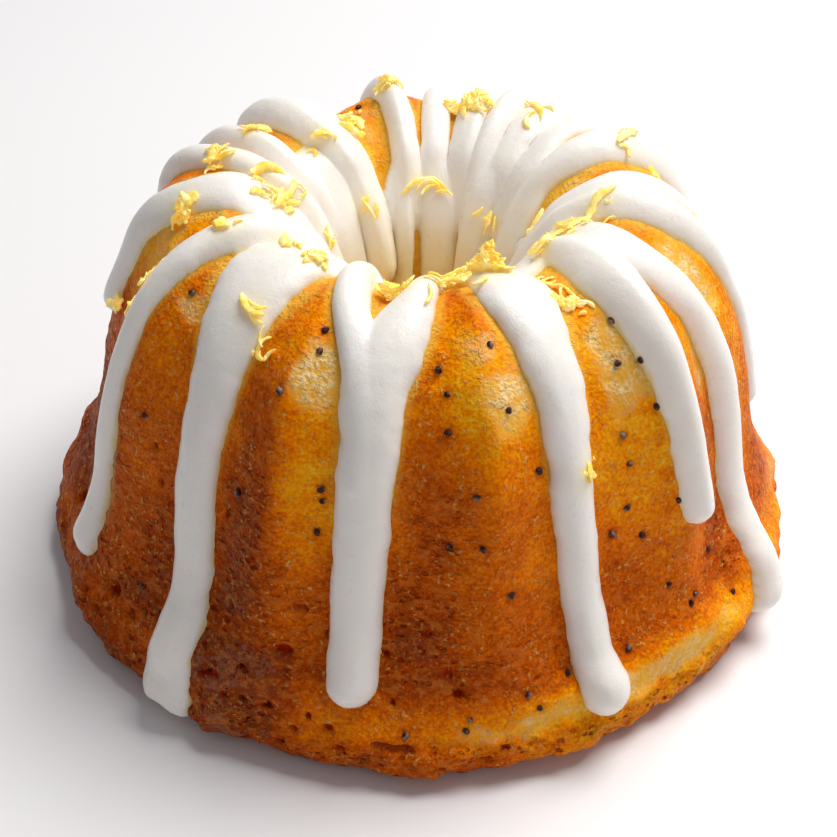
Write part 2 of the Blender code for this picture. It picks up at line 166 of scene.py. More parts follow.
def lattice_noise(azimuth, arc, cells_round, cell_arc, seed):
    """Smooth noise from -1 to 1 on a lattice of azimuth and arc that closes round the cake."""
    table = np.random.default_rng(seed).uniform(-1, 1, (cells_round, LATTICE_ROWS))
    u = np.mod(azimuth, 360.0) / 360.0 * cells_round
    v = np.asarray(arc) / cell_arc + LATTICE_ROWS / 2
    i, j = np.floor(u).astype(int), np.floor(v).astype(int)
    fu, fv = eased(u - i), eased(v - j)
    i0, i1 = i % cells_round, (i + 1) % cells_round
    j0, j1 = j % LATTICE_ROWS, (j + 1) % LATTICE_ROWS
    low = table[i0, j0] * (1 - fu) + table[i1, j0] * fu
    high = table[i0, j1] * (1 - fu) + table[i1, j1] * fu
    return low * (1 - fv) + high * fv


# %% [markdown]
# ## Where the crust is
# The mould presses flutes into the wall: sharp ridges with rounded grooves between them. The
# size of a sine has just that form. One function turns azimuth, arc and a height above the
# crust into a point in space, and every piece below stands on it, so that nothing floats.

# %% A point on the crust
FLUTES = 10
RIDGE_AZIMUTH = 11.0
RIDGE_ROUNDING = 0.16
FLUTE_DEPTHS = (
    (-40, 0.3), (-14, 0.7), (0, 1.3), (9, 2.4), (16, 3), (42, 2.8), (50, 1.2), (56, 0.5), (61, 0),
)
FOOT_FLARE, FOOT_START, FOOT_BLEND = 1.3, 44.0, 8.0
# Strength in millimetres; then cells round the cake, length of a cell along it, and seed.
CRAG_DEPTH, CRAG_CELLS = 0.9, (46, 4.0, 4)
WOBBLE_DEPTH, WOBBLE_CELLS = 0.35, (9, 17.0, 3)
# Where the shoulder stands out or falls short: azimuth, arc, reach round in degrees, reach
# along, height.
SHOULDERS = (
    (-111, 10.5, 12, 7, 2), (-94, 21, 12, 8, -0.9), (88, 16, 12, 10, -2),
)
LEAN, LEAN_LIMIT = 1.1, 1.2
FLAT_REACH, FLAT_BLEND = 4.0, 3.0


def turn_between(azimuth, middle):
    """Degrees from middle to azimuth, the short way round."""
    return np.mod(azimuth - middle + 180.0, 360.0) - 180.0


def flute_offset(azimuth, arc):
    """Depth under the ridge line: the size of a sine of azimuth, its sharp foot eased a
    little, times a depth that depends on arc."""
    phase = (azimuth - RIDGE_AZIMUTH) / (360.0 / FLUTES)
    side = np.sqrt(np.sin(math.pi * phase) ** 2 + RIDGE_ROUNDING ** 2) - RIDGE_ROUNDING
    side /= math.hypot(1.0, RIDGE_ROUNDING) - RIDGE_ROUNDING
    arcs, depths = zip(*FLUTE_DEPTHS)
    return side * np.interp(arc, arcs, depths)


def calm(arc):
    """1 on the wall, 0 on the flat base at both ends of the profile."""
    end = np.clip((ARC_HIGH - FLAT_REACH - arc) / FLAT_BLEND, 0.0, 1.0)
    return end * np.clip((arc - ARC_LOW - FLAT_REACH) / FLAT_BLEND, 0.0, 1.0)


def coarse_relief(azimuth, arc):
    """Slow unevenness of the wall, bell-shaped swellings and hollows of the shoulder, and
    crags on the foot that flares at the back."""
    foot = np.clip((arc - FOOT_START) / FOOT_BLEND, 0.0, 1.0)
    slow = WOBBLE_DEPTH * lattice_noise(azimuth, arc, *WOBBLE_CELLS)
    for middle, along, wide, far, height in SHOULDERS:
        away = (turn_between(azimuth, middle) / wide) ** 2 + ((arc - along) / far) ** 2
        slow = slow + height * np.exp(-away)
    crags = CRAG_DEPTH * lattice_noise(azimuth, arc, *CRAG_CELLS)
    flare = FOOT_FLARE * np.sin(np.radians(azimuth) / 2.0) ** 2
    return calm(arc) * (slow + foot * (crags + flare))


def crust_point(azimuth, arc, lift=0.0):
    """Point in millimetres: the profile turned round the axis, moved along its own normal by
    the relief less the flute plus lift, and leaning a little to the right with height."""
    azimuth, arc = np.broadcast_arrays(np.asarray(azimuth, float), np.asarray(arc, float))
    table_arc, radius, height, normal_r, normal_z = TABLE
    out = coarse_relief(azimuth, arc) - flute_offset(azimuth, arc) + lift
    r = np.interp(arc, table_arc, radius) + out * np.interp(arc, table_arc, normal_r)
    z = np.interp(arc, table_arc, height) + out * np.interp(arc, table_arc, normal_z)
    angle = np.radians(azimuth)
    lean = LEAN * np.clip(z / PROFILE[CREST_POINT][1], 0.0, LEAN_LIMIT)
    return np.stack([r * np.sin(angle) + lean, -r * np.cos(angle), z], axis=-1)


def millimetres_per_degree(arc):
    """Length of one degree of azimuth at this arc."""
    return np.radians(1.0) * np.interp(arc, TABLE[0], TABLE[1])


# %% [markdown]
# ## Where the icing is
# The baker pours from a spoon across the crown, so the icing is a set of ropes that join into
# a sheet round the hole and end in round drops, each at its own height. Ropes modelled one by
# one would cross in hard creases. Here each is a height over the crust, and a smooth maximum
# melts them together, as thick icing does. Stations give a rope's path from hole to drop.

# %% The height of the icing
COLLAR_DEPTH, COLLAR_LOW, COLLAR_EDGE_POWER = 1.1, -18.0, 4
# The upper edge of the sheet in the hole: azimuth, arc.
COLLAR_HIGH = (
    (-180, -7), (-165, -8), (-156, -13), (-149, -5), (-135, -3), (-40, -2), (-14, -3.5), (10, -4),
    (35, -3), (68, -3), (73, -7), (78, -4), (94, -4), (99, -8), (103, -13), (108, -14), (112, -9),
    (118, -4.5), (124, -4), (140, -4), (162, -5), (171, -8), (180, -7),
)
ICING_EDGE_POWER = 2.6
BARE = -5.0
RUN_START_FADE = 9.0
DROP_SWELL = 0.16
MELT = 1.0
PLATE_ARC, PLATE_END_POWER, ROUND_END_POWER = 60.5, 6.0, 2.0

# Runs of icing: thickness, then (arc, azimuth, width) from the hole to the rounded end.
RUNS = (
    (2.3, ((-16, 0, 3.4), (-4, -1.2, 4.0), (0, -3.2, 4.6), (3, -5.4, 6.2), (6, -7.0, 7.2),
           (11, -9.4, 7.8), (20, -9.9, 6.9), (32, -10.4, 6.6), (44, -10.4, 6.2),
           (52.2, -10.3, 5.9))),
    (1.9, ((-16, -27, 3.4), (-4, -24, 4.2), (0, -21, 4.4), (3, -18.8, 4.6), (7, -15.2, 4.8),
           (13, -12.0, 4.4), (26, -10.6, 3.6))),
    (2.4, ((-16, 16, 3.6), (-5, 21, 6.6), (2, 23, 8.6), (8, 24.2, 7.8), (14, 25.0, 7.0),
           (24, 25.2, 6.0), (34, 25.8, 5.6), (46, 26.8, 5.6), (56.6, 27.4, 6.0))),
    (2.3, ((-16, 62, 3.8), (-6, 56, 6.6), (1, 50, 9.0), (8, 47.2, 6.8), (16, 46.6, 5.2),
           (26, 47.6, 4.8), (38.6, 49.6, 5.2))),
    (2.3, ((-16, 70, 3.8), (-6, 66, 5.6), (2, 62, 6.8), (10, 63.6, 6.0), (22, 67.4, 5.6),
           (34, 69.4, 5.6), (44, 68.0, 5.4), (52, 65, 5.4), (59.4, 62.4, 5.4))),
    (2.0, ((-16, 84, 3.8), (-4, 85, 5.8), (4, 85, 7.2), (12, 85.5, 7.0), (22, 87.6, 5.4),
           (42.0, 90, 5.4))),
    (2.5, ((-16, 92, 3.4), (-4, 93, 5.2), (2, 95, 6.2), (10, 98, 5.4), (22.0, 101, 5.0))),
    (1.7, ((-16, 122, 3.2), (-6, 118.5, 4.2), (2, 116, 5.8), (10, 115, 5.8), (24, 112, 5.0),
           (43.0, 109, 5.6))),
    (1.6, ((-16, 128, 3.6), (-6, 131, 4.4), (2, 132, 4.6), (8, 131, 5.6), (16, 130, 5.4),
           (33.0, 129, 5.2))),
    (1.8, ((-16, 141, 3.4), (-4, 142.5, 4.6), (5, 143, 5.6), (16, 144, 5.2), (49.0, 145, 5.8))),
    (1.6, ((-16, 152, 3.2), (-4, 153.0, 4.2), (4, 153, 4.8), (16.0, 154, 4.6))),
    (1.9, ((-16, 163, 3.4), (-4, 163.5, 4.2), (6, 163.5, 4.8), (14, 163, 4.6), (37.0, 162, 5.2))),
    (2.0, ((-16, 176, 3.2), (-4, 176.5, 3.6), (4, 177, 3.8), (16, 177, 4.2), (30.0, 178, 5.0))),
    (2.2, ((-16, -172, 3.4), (-4, -170, 3.8), (4, -169, 4.0), (16, -168, 4.6),
           (52.0, -167, 6.0))),
    (3.1, ((-16, -145, 4.2), (-10, -144, 5.4), (-4, -141.5, 7.2), (3, -139.4, 9.2),
           (8, -139.4, 9.2), (16, -141, 7.2), (28, -142, 5.4), (45.0, -143, 6.0))),
    (2.6, ((-16, -118, 3.6), (-6, -116, 4.2), (0, -118, 4.2), (8, -122, 4.1),
           (18, -125, 4.6), (36.0, -126, 5.4))),
    (2.4, ((-16, -99, 3.6), (-6, -101.5, 4.6), (1, -105.5, 4.8), (9, -109.5, 4.8),
           (18, -112, 4.8), (47.0, -113, 5.8))),
    (1.4, ((-16, -84, 3.6), (-6, -86.5, 5.4), (1, -90, 6.4), (6, -91, 5.2), (12, -93.0, 4.6),
           (18, -95, 4.6), (30.0, -96.5, 4.6))),
    (2.4, ((-16, -60, 3.8), (-5, -62, 6.6), (3, -65, 6.8), (10, -66, 5.8), (24, -66.2, 4.8),
           (36, -66.5, 4.8), (46, -66.7, 5.2), (52.8, -66.8, 6.2))),
    (2.4, ((-16, -43, 3.8), (-5, -43.4, 8.4), (3, -45.2, 10.8), (8, -44.4, 9.8),
           (13, -43.4, 8.7), (20, -42.6, 7.2), (36, -41.6, 6.8), (48, -39.8, 6.8),
           (61.4, -39.4, 7.8))),
)
# Lobes down the hole: thickness, then (depth under the crest along the profile, azimuth,
# width). The wall is so narrow there that a few wide lobes go round it.
LOBES = (
    (2.8, ((3, -142, 6.6), (12, -145, 5.2), (24.6, -147, 4.6))),
    (1.7, ((6, -128, 4.6), (14, -124, 4.6), (33.0, -122, 4.8))),
    (1.6, ((9, -166, 2.6), (17, -166, 2.8), (28.0, -163, 2.9))),
    (1.9, ((5, 177, 3.8), (14, 172, 4.6), (41.0, 171, 4.9))),
    (2.0, ((4, 150, 5.0), (14, 147, 4.6), (34.0, 144, 5.0))),
    (1.8, ((4, 120, 5.4), (14, 118, 4.8), (28.0, 115, 4.8))),
    (2.0, ((4, 90, 5.6), (14, 90, 4.8), (37.0, 86, 5.0))),
    (1.8, ((4, 60, 5.6), (14, 60, 4.8), (25.0, 58, 4.8))),
    (2.0, ((4, 22, 5.6), (14, 28, 4.8), (33.0, 30, 4.8))),
    (1.7, ((4, -22, 4.6), (12, -2, 4.6), (22.0, -1, 4.4))),
    (2.0, ((4, -58, 5.6), (12, -34, 4.8), (37.0, -32, 4.8))),
    (1.9, ((4, -86, 5.0), (12, -66, 4.8), (27.0, -64, 4.6))),
    (1.9, ((4, -116, 5.2), (14, -100, 5.4), (39.0, -98, 5.2))),
)


def smooth_max(a, b, blend):
    """The larger of two heights, raised where they are closer than blend, so that the two
    surfaces meet in a fillet: the rise is the square of the closeness over four."""
    close = np.maximum(blend - np.abs(a - b), 0.0) / blend * (np.minimum(a, b) > BARE)
    return np.maximum(a, b) + close * close * blend / 4.0


def rope(azimuth, along, scale, wander, thickness, stations):
    """Height of one rope, negative beside it: its thickness times one less a power of the
    distance from its middle in half widths. Past the middle of the drop the distance is
    measured from there, which rounds the end, or squares it where the rope is on the plate."""
    places, azimuths, widths = zip(*stations)
    drop = widths[-1] / 2.0
    centre = places[-1] - drop
    half = smooth_curve(along, places, widths) / 2.0 * (1.0 + wander)
    side = turn_between(azimuth, smooth_curve(along, places, azimuths)) * scale
    past = np.maximum(along - centre, 0.0)
    power = PLATE_END_POWER if places[-1] > PLATE_ARC else ROUND_END_POWER
    x = (np.abs(side / half) ** power + (past / drop) ** power) ** (1.0 / power)
    swell = DROP_SWELL * np.exp(-((along - centre) / (2.0 * drop)) ** 2)
    start = ramp(along, places[0] - 1.0, places[0] + RUN_START_FADE)
    height = thickness * (1.0 + swell) * (start - x ** ICING_EDGE_POWER)
    return np.where(along < places[0], BARE, np.maximum(height, BARE))


def icing_height(azimuth, arc, wander=0.0):
    """Height of the icing over the crust, negative where the crust is bare: the collar that
    lines the edge of the hole, the runs outside and the lobes inside, melted together."""
    azimuth, arc = np.broadcast_arrays(np.asarray(azimuth, float), np.asarray(arc, float))
    high = np.interp(turn_between(azimuth, 0.0), *zip(*COLLAR_HIGH))
    middle, half = (COLLAR_LOW + high) / 2.0, (high - COLLAR_LOW) / 2.0
    best = COLLAR_DEPTH * (1.0 - np.abs((arc - middle) / half) ** COLLAR_EDGE_POWER)
    best = np.maximum(best, BARE)
    scale = millimetres_per_degree(arc)
    for ropes, along in ((RUNS, arc), (LOBES, -arc)):
        for shape in ropes:
            best = smooth_max(best, rope(azimuth, along, scale, wander, *shape), MELT)
    return best


print(f"{len(RUNS)} runs of icing, the longest down to arc {max(r[1][-1][0] for r in RUNS)} mm")

# %% [markdown]
# ## The poppy seeds' places
# Seeds are baked into the batter, so they show only where the crust is bare, in no order.
# The ones that face the viewer are placed one by one, as they lie on the real cake, and the
# rest of the wall is strewn by a seeded draw that keeps a bare margin and a least distance.

# %% Places for the seeds
SEEDS_SEEN = (
    (-57, 10), (-56, 27), (-50.5, 49), (-22, 7), (-21.5, 9.5), (-26.5, 15), (-32, 29),
    (-17.2, 25.5), (-16.8, 27), (-17.4, 31), (2, 10), (3.5, 13), (3.5, 17.5), (12.5, 8),
    (14, 15.5), (19, 23.5), (8, 25), (4, 31.5), (9, 31.5), (13.5, 38), (15.5, 51), (17, 53),
    (7, 53.2), (6.4, 54.6), (-2, 55.2), (22.4, 50), (33, 50), (41, 9), (42.6, 14.8), (38.5, 14),
    (43, 21), (36.5, 23), (37, 27), (36, 32.5), (33, 35.5), (38.5, 37), (45, 34), (42.5, 45),
    (47.5, 48.4), (46, 49), (54, 45.5), (56.5, 52.8),
)
# The sector that isn't seen, and the seeds that are drawn for it.
UNSEEN_SECTOR = (92.0, 263.0)
SEED_DRAWS, SEED_ARCS, SEED_CROWDING = 130, (2.0, 56.0), 0.8
SEED_SPACING, SEED_CLEARANCE = 1.8, 0.8


def between(ends, share):
    """Value this share of the way from the first end to the second."""
    return ends[0] + (ends[1] - ends[0]) * share


def seed_places():
    """Azimuth and arc of each seed: those seen, then draws in the unseen sector, kept where
    the crust is bare and no other seed is near. A power below one crowds them low down."""
    kept = [tuple(map(float, place)) for place in SEEDS_SEEN]
    draws = np.random.default_rng(DRAW_SEEDS).random((SEED_DRAWS, 2))
    azimuths = between(UNSEEN_SECTOR, draws[:, 0])
    arcs = between(SEED_ARCS, draws[:, 1] ** SEED_CROWDING)
    bare = icing_height(azimuths, arcs) < -SEED_CLEARANCE
    for azimuth, arc in zip(azimuths[bare], arcs[bare]):
        scale = float(millimetres_per_degree(arc))
        gaps = [math.hypot(turn_between(azimuth, a) * scale, arc - s) for a, s in kept]
        if min(gaps) > SEED_SPACING:
            kept.append((azimuth, arc))
    return np.array(kept)


SEEDS = seed_places()
print(f"{len(SEEDS)} poppy seeds")

# %% [markdown]
# ## Meshes and materials from arrays
# A surface computed as an array of rows and columns becomes a mesh when its faces name the
# corners of each cell. One helper numbers those corners and another makes the object, for
# every piece alike. A material here is a small graph of noise, ramps and one shader, so a few
# more helpers make its nodes with less typing.

# %% Helpers for meshes
def cell_corners(row, column, rows, columns):
    """The vertices of cells in a grid that is numbered row by row and closes round, in the
    order that faces outwards when rows run down the outside and columns to the right."""
    below, right = (row + 1) % rows, (column + 1) % columns
    return np.stack((row * columns + column, below * columns + column,
                     below * columns + right, row * columns + right), axis=-1)


def ring_faces(rows, columns):
    """Quads of a grid that closes both ways."""
    row, column = np.indices((rows, columns)).reshape(2, -1)
    return cell_corners(row, column, rows, columns).tolist()


def tube_faces(count, rows, columns):
    """Quads along each of many tubes that are numbered one after another, and one cap at
    each of their ends."""
    row, column = np.indices((rows - 1, columns)).reshape(2, -1)
    start = np.arange(count)[:, None, None] * rows * columns
    sides = (start + cell_corners(row, column, rows, columns)).reshape(-1, 4)
    ring = np.arange(columns)[None, :]
    ends = (start[:, 0] + ring, start[:, 0] + rows * columns - 1 - ring)
    return sides.tolist() + np.concatenate(ends).tolist()


def piece(name, points, faces, material, slot_name, **values):
    """A finished piece: mesh from points in millimetres and lists of corners, its values
    kept as attributes on the vertices, riding on the cake and standing for its solid."""
    points = points.reshape(-1, 3)
    mesh = bpy.data.meshes.new(name)
    mesh.from_pydata((points * MM).tolist(), [], faces)
    mesh.update()
    for key, value in values.items():
        layer = mesh.attributes.new(key, 'FLOAT', 'POINT')
        layer.data.foreach_set("value", np.ravel(value).astype(np.float32))
    mesh.shade_smooth()
    mesh.materials.append(material)
    made = bpy.data.objects.new(name, mesh)
    bpy.context.scene.collection.objects.link(made)
    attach(made, BODY)
    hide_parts(CAKE)
    triangles = sum(len(face) - 2 for face in faces)
    print(f"{name}: {len(points)} points, {triangles} triangles")


# %% Helpers for nodes
def new_material(name):
    """Material with one Principled shader, its node tree, and that shader."""
    material = bpy.data.materials.new(name)
    material.use_nodes = True
    return material, material.node_tree, material.node_tree.nodes["Principled BSDF"]


def feed(tree, node, inputs):
    """Give the node its inputs, by name or number: the output of another node is linked, and
    a constant is set on the socket."""
    for key, value in inputs.items():
        if isinstance(value, bpy.types.NodeSocket):
            tree.links.new(value, node.inputs[key])
        else:
            node.inputs[key].default_value = value


def add(tree, kind, inputs, **settings):
    """New node with its settings and inputs; gives back its first output."""
    made = tree.nodes.new(kind)
    for key, value in settings.items():
        setattr(made, key, value)
    feed(tree, made, inputs)
    return made.outputs[0]


def object_place(tree):
    """Place on the object, in metres, which no unwrapping can stretch."""
    return tree.nodes.new("ShaderNodeTexCoord").outputs["Object"]


def stored(tree, name):
    """The number that the mesh keeps under this name."""
    made = tree.nodes.new("ShaderNodeAttribute")
    made.attribute_name = name
    return made.outputs["Fac"]


def noise(tree, place, size, detail=2.0, roughness=0.55):
    """Noise whose features measure about this many millimetres."""
    return add(tree, "ShaderNodeTexNoise", {"Vector": place, "Scale": 1.0 / (size * MM),
                                            "Detail": detail, "Roughness": roughness})


def cells(tree, place, size):
    """Distance from the nearest of points strewn about this many millimetres apart, measured
    in that size."""
    return add(tree, "ShaderNodeTexVoronoi", {"Vector": place, "Scale": 1.0 / (size * MM)})


def maths(tree, operation, *values):
    """One step of arithmetic on outputs and constants."""
    return add(tree, "ShaderNodeMath", dict(enumerate(values)), operation=operation)


def spread(tree, value, low, high, new_low=0.0, new_high=1.0):
    """Value moved from the range low to high to a new one, held at its ends."""
    return add(tree, "ShaderNodeMapRange",
               {"Value": value, "From Min": low, "From Max": high,
                "To Min": new_low, "To Max": new_high})


def shifted(tree, value, pattern, swing):
    """Value raised and lowered by a pattern, by this swing from its lowest to its highest."""
    return maths(tree, 'MULTIPLY_ADD', maths(tree, 'SUBTRACT', pattern, 0.5), swing, value)


def stacked(tree, base, *layers):
    """Base plus every layer times its weight."""
    for layer, weight in layers:
        base = maths(tree, 'MULTIPLY_ADD', layer, weight, base)
    return base


def mixed(tree, share, first, second):
    """Colour between two others by share."""
    mix = tree.nodes.new("ShaderNodeMix")
    mix.data_type = 'RGBA'
    feed(tree, mix, {0: share, 6: first, 7: second})
    return mix.outputs[2]


def stops(tree, value, colours):
    """Colour ramp through (place, colour) pairs."""
    made = tree.nodes.new("ShaderNodeValToRGB")
    tree.links.new(value, made.inputs[0])
    elements = made.color_ramp.elements
    while len(elements) < len(colours):
        elements.new(1.0)
    for element, (place, colour) in zip(elements, colours):
        element.position = place
        element.color = colour
    return made.outputs[0]


def bumps(tree, height, strength, depth):
    """Normal of a relief in which a height of 1 stands for this many millimetres."""
    return add(tree, "ShaderNodeBump", {"Height": height, "Strength": strength,
                                        "Distance": depth * MM})


def srgb(red, green, blue):
    """Colour of a screen, 0 to 255, as the linear values that a shader takes."""
    c = np.array([red, green, blue]) / 255.0
    linear = np.where(c <= 0.04045, c / 12.92, ((c + 0.055) / 1.055) ** 2.4)
    return (*map(float, linear), 1.0)


# %% [markdown]
# ## Browning, and light painted on the ridges
# An oven browns a cake unevenly. Where batter touched the metal longest, low on the wall and
# on the foot, it is dark and pitted; the ridges at the crown are a bright orange; patches
# stuck to the mould and show pale crumb; and a pale band runs above the foot, where the
# batter rose out of the mould. A texture painted by hand could show this, but here the tone
# is a sum of curves in arc and azimuth, a few named spots, and noise. Curves round the cake
# make the left darker and the front right paler, and some of the spots are painted light and
# painted shade on the flanks of the ridges. The tone is stored on the vertices, and the
# shader adds the grain that is finer than the mesh.

# %% Tone of the crust
TONE_BY_ARC = (
    (-60, 0.35), (-40, 0.22), (-12, 0.22), (-5, 0.3), (0, 0.5), (4, 0.44), (10, 0.4), (20, 0.46),
    (30, 0.54), (38, 0.6), (45, 0.65), (49.5, 0.68), (52, 0.48), (55, 0.37), (57.5, 0.48),
    (60, 0.58), (63.5, 0.67), (68, 0.7),
)
# Round the cake the tone is darker on the left and paler at the front right.
TONE_BY_AZIMUTH = (
    (-180, 0.03), (-130, 0.06), (-90, 0.1), (-60, 0.09), (-34, 0.06), (-15, -0.01), (0, 0.03),
    (12, 0), (30, -0.07), (45, -0.08), (60, -0.05), (90, 0), (130, 0), (180, 0.03),
)
# Lower down on the left the tone is darker still.
DARKER_LEFT_SIDE = (
    (-180, 0.3), (-140, 0.6), (-100, 1), (-30, 1), (-8, 0.45), (5, 0.1), (70, 0), (140, 0.2),
    (180, 0.3),
)
# Spots: azimuth, arc, half width and half height in millimetres, change of tone. Some of them
# are painted light and painted shade: paler on the flanks of the ridges that face the light at
# the front right, darker on the flanks turned away.
TONE_SPOTS = (
    (-30, 30, 3.2, 15, 0.2), (-20, 30, 3.6, 14, -0.13), (1, 22, 4.6, 15, 0.13),
    (-1, 43, 4.6, 5, 0.07), (37, 30, 4, 9, -0.1), (33, 42, 5, 5, 0.08), (4, 13, 3.6, 9, -0.08),
    (56, 10, 3.4, 6, 0.05), (58, 36, 4, 8, 0.1), (-54, 20, 5, 8, -0.06), (57, 47, 4.6, 4.6, 0.12),
    (26, 10, 3, 5, 0.07), (-27, 53.5, 8, 6.5, 0.24), (20, 34, 3, 9, -0.07),
    (13, 3, 3.4, 3.6, 0.08), (41, 2, 3, 3, 0.05), (30, 54.5, 16, 3, -0.12),
    (32, 60.5, 15, 4, -0.14), (46, 26, 3, 9, -0.1), (70, 24, 3.6, 11, -0.1),
    (80, 24, 3.2, 8, -0.08), (-56, 42, 5, 9, -0.13), (-86, 12, 5, 14, -0.22),
    (75, 30, 3.4, 13, -0.12), (74, 12, 3.5, 8, -0.08), (-158, -2, 5, 8, -0.12),
    (109, -5, 4, 5, -0.1), (12, 15, 5, 12, -0.06), (-18, 19, 3.2, 12, -0.06),
    (46, 32, 3, 6, -0.08),
)
# Patches of bare crumb: azimuth, arc, half width and half height in millimetres, strength.
CRUMB_SPOTS = (
    (-20, 12, 2.6, 5, 1), (10.5, 8.4, 2.2, 1.9, 0.5), (15.2, 14.2, 4, 4.3, 1),
    (41, 12.5, 3.4, 6.2, 1), (37.5, 18.5, 2.6, 3.2, 0.7), (-55, 11, 2, 1.6, 0.7),
    (61, 22, 1.8, 5, 0.6), (36, 54.6, 14, 2.2, 0.6), (12, 55.6, 8, 1.6, 0.35),
    (-77, 12, 2.4, 4, 0.6), (72, 12, 2.2, 5, 0.8), (97, 10, 2.6, 5, 0.8), (131, 12, 2.6, 6, 0.9),
    (152, 11, 2, 4, 0.7), (-178, 12, 2.8, 5, 0.9), (-157, 13, 2.4, 5, 0.8),
    (-128, 11, 2.4, 4, 0.8), (-96, 13, 2.4, 4, 0.7), (150, 54.6, 16, 2.2, 0.6),
    (-150, 54.6, 10, 2, 0.4), (92, 54.6, 8, 2, 0.5), (-86, 11, 2.6, 6, 0.45),
    (-63, 38, 1.8, 7.5, 0.45), (74, 11, 2.6, 7, 0.5), (-160, -4, 4, 6, 0.4),
    (109, -4.5, 4, 3, 0.5),
)
# Burst bubbles low on the wall, those seen: azimuth, arc, half width and half height in mm.
BUBBLES_SEEN = (
    (-33, 52.4, 0.9, 0.8), (-18, 56.4, 0.9, 0.5), (-16, 54, 0.6, 0.5), (-13, 55.2, 0.7, 0.6),
    (-21, 46.8, 1.2, 0.8), (-19, 41.2, 0.8, 0.5), (5.5, 50, 0.7, 0.6), (-4, 51.2, 0.6, 0.4),
    (9.5, 59.4, 1, 0.6), (12, 57.6, 0.8, 0.6), (-26, 54, 0.6, 0.5), (-22, 53.6, 0.6, 0.5),
    (-27, 50.4, 0.6, 0.5), (-24.5, 57, 0.9, 0.6), (-29, 54.6, 0.6, 0.5), (-14.6, 44, 0.6, 0.5),
    (-5.5, 46, 0.6, 0.6), (-20, 59.4, 0.7, 0.5), (-11, 57.6, 0.8, 0.5), (3, 59.6, 0.8, 0.5),
    (-79.5, 51.2, 0.9, 1.6), (-56, 52, 1.3, 0.8), (-57.5, 56, 0.8, 0.9), (-50.5, 53.2, 0.9, 0.8),
    (-60.5, 55.2, 0.7, 0.9), (-48, 51.2, 0.6, 0.7), (-48, 59.2, 0.6, 0.5), (-34, 32.4, 0.5, 0.5),
    (-50.5, 34.4, 0.5, 0.5), (-53, 30, 0.5, 0.5), (-60.5, 31.2, 0.4, 0.5), (-36, 56.5, 0.8, 0.7),
    (-8, 60, 0.6, 0.5), (-31, 44, 0.5, 0.6),
)
BUBBLE_DRAWS, BUBBLE_ARCS, BUBBLE_CROWDING = 90, (30.0, 61.0), 0.6
BUBBLE_SIZES, BUBBLE_DEPTH, BUBBLE_SHAKE = (0.4, 1.1), 0.8, 0.6
# Where the edge of a spot and of a bubble begins and is full, in half sizes.
SPOT_EDGE, BUBBLE_EDGE = (1.35, 0.45), (1.15, 0.55)


def spot_distance(azimuth, arc, middle, along, wide=1.0, high=1.0):
    """Distance on the crust from the middle of an ellipse, in its half sizes."""
    across = turn_between(azimuth, middle) * millimetres_per_degree(arc) / wide
    return np.hypot(across, (arc - along) / high)


def spots(azimuth, arc, rows, warp):
    """Sum of soft ellipses: each is its strength times a smooth step of the distance from its
    middle, the distance being shaken by the warp so that no edge is even."""
    total = np.zeros(np.shape(azimuth))
    for *ellipse, strength in rows:
        away = spot_distance(azimuth, arc, *ellipse) + warp
        total += strength * ramp(away, *SPOT_EDGE)
    return total


def bubbles(azimuth, arc, warp):
    """1 in the middle of a burst bubble, falling by a smooth step to 0 past its uneven rim:
    the seen ones, and a seeded draw for the sides that are not seen, more of them low down."""
    draws = np.random.default_rng(DRAW_BUBBLES).random((BUBBLE_DRAWS, 4))
    unseen = between(UNSEEN_SECTOR, draws[:, 0])
    along = between(BUBBLE_ARCS, draws[:, 1] ** BUBBLE_CROWDING)
    sizes = between(BUBBLE_SIZES, draws[:, 2:] ** 2)
    deepest = np.zeros(np.shape(azimuth))
    for ellipse in (*BUBBLES_SEEN, *zip(unseen, along, *sizes.T)):
        away = spot_distance(azimuth, arc, *ellipse) + BUBBLE_SHAKE * warp
        deepest = np.maximum(deepest, ramp(away, *BUBBLE_EDGE))
    return deepest


def round_curve(azimuth, rows):
    """Value of a closed curve round the cake."""
    return np.interp(turn_between(azimuth, 0.0), *zip(*rows))


print(f"{len(TONE_SPOTS)} spots, {len(CRUMB_SPOTS)} patches of crumb, {len(BUBBLES_SEEN)} bubbles")

# %% [markdown]
# The relief goes with the tone: browned crust is torn by holes and crags, bare crumb is sunk
# and rough, and a crack opened above the foot. All of it is noise again, so each noise is one
# named row of numbers, and the same place gives the same depth to the mesh and the shader.

# %% Relief of the crust
# Noises: strength in tone or millimetres, size of the cells in millimetres, octaves, seed.
EDGE_WARP, MOTTLE, LINE_WANDER = (0.42, 3.2, 3, 30), (0.06, 6.0, 3, 40), (1.0, 5.0, 1, 34)
UNEVEN, TORN = (0.11, 1.9, 3, 60), (0.10, 1.0, 2, 62)
LACE, CRAGS, FOOT_CRAGS = (2.2, 1.5, 2, 54), (0.20, 2.0, 3, 56), (0.42, 1.7, 2, 64)
CRACK_WANDER, CRACK_BREAKS = (0.7, 2.6, 1, 66), (1.0, 6.5, 1, 68)
# Holes: size of the cells in millimetres, share of them that has one, seed.
FINE_HOLES, LARGE_HOLES = (1.5, 0.30, 50), (4.2, 0.16, 51)
# Strength of the darkening low on the left, and the arcs where it begins and is full.
LEFT_DARKENING_BY_ARC = ((0.05, 26, 44), (0.16, 48, 53))
# Tones and arcs between which the crust turns browned, torn by large holes, and craggy.
BROWNED_TONES, LARGE_HOLE_ARCS, FOOT_ARCS = (0.48, 0.80), (30, 46), (53.5, 57.5)
CRUMB_SINK, LACE_DEPTH, CRAG_SQUEEZE = 0.16, 0.07, (1.0, 1.0, 1.7)
# How far the warp shakes the holes, and how dark the painted shade in a fine hole is beside
# a large one.
FINE_SHAKE, LARGE_SHAKE, FINE_SHADE = 0.5, 0.9, 0.7
FINE_HOLE_DEPTH, LARGE_HOLE_DEPTH, FOOT_HOLE_DEPTH = 0.26, 0.60, 0.3
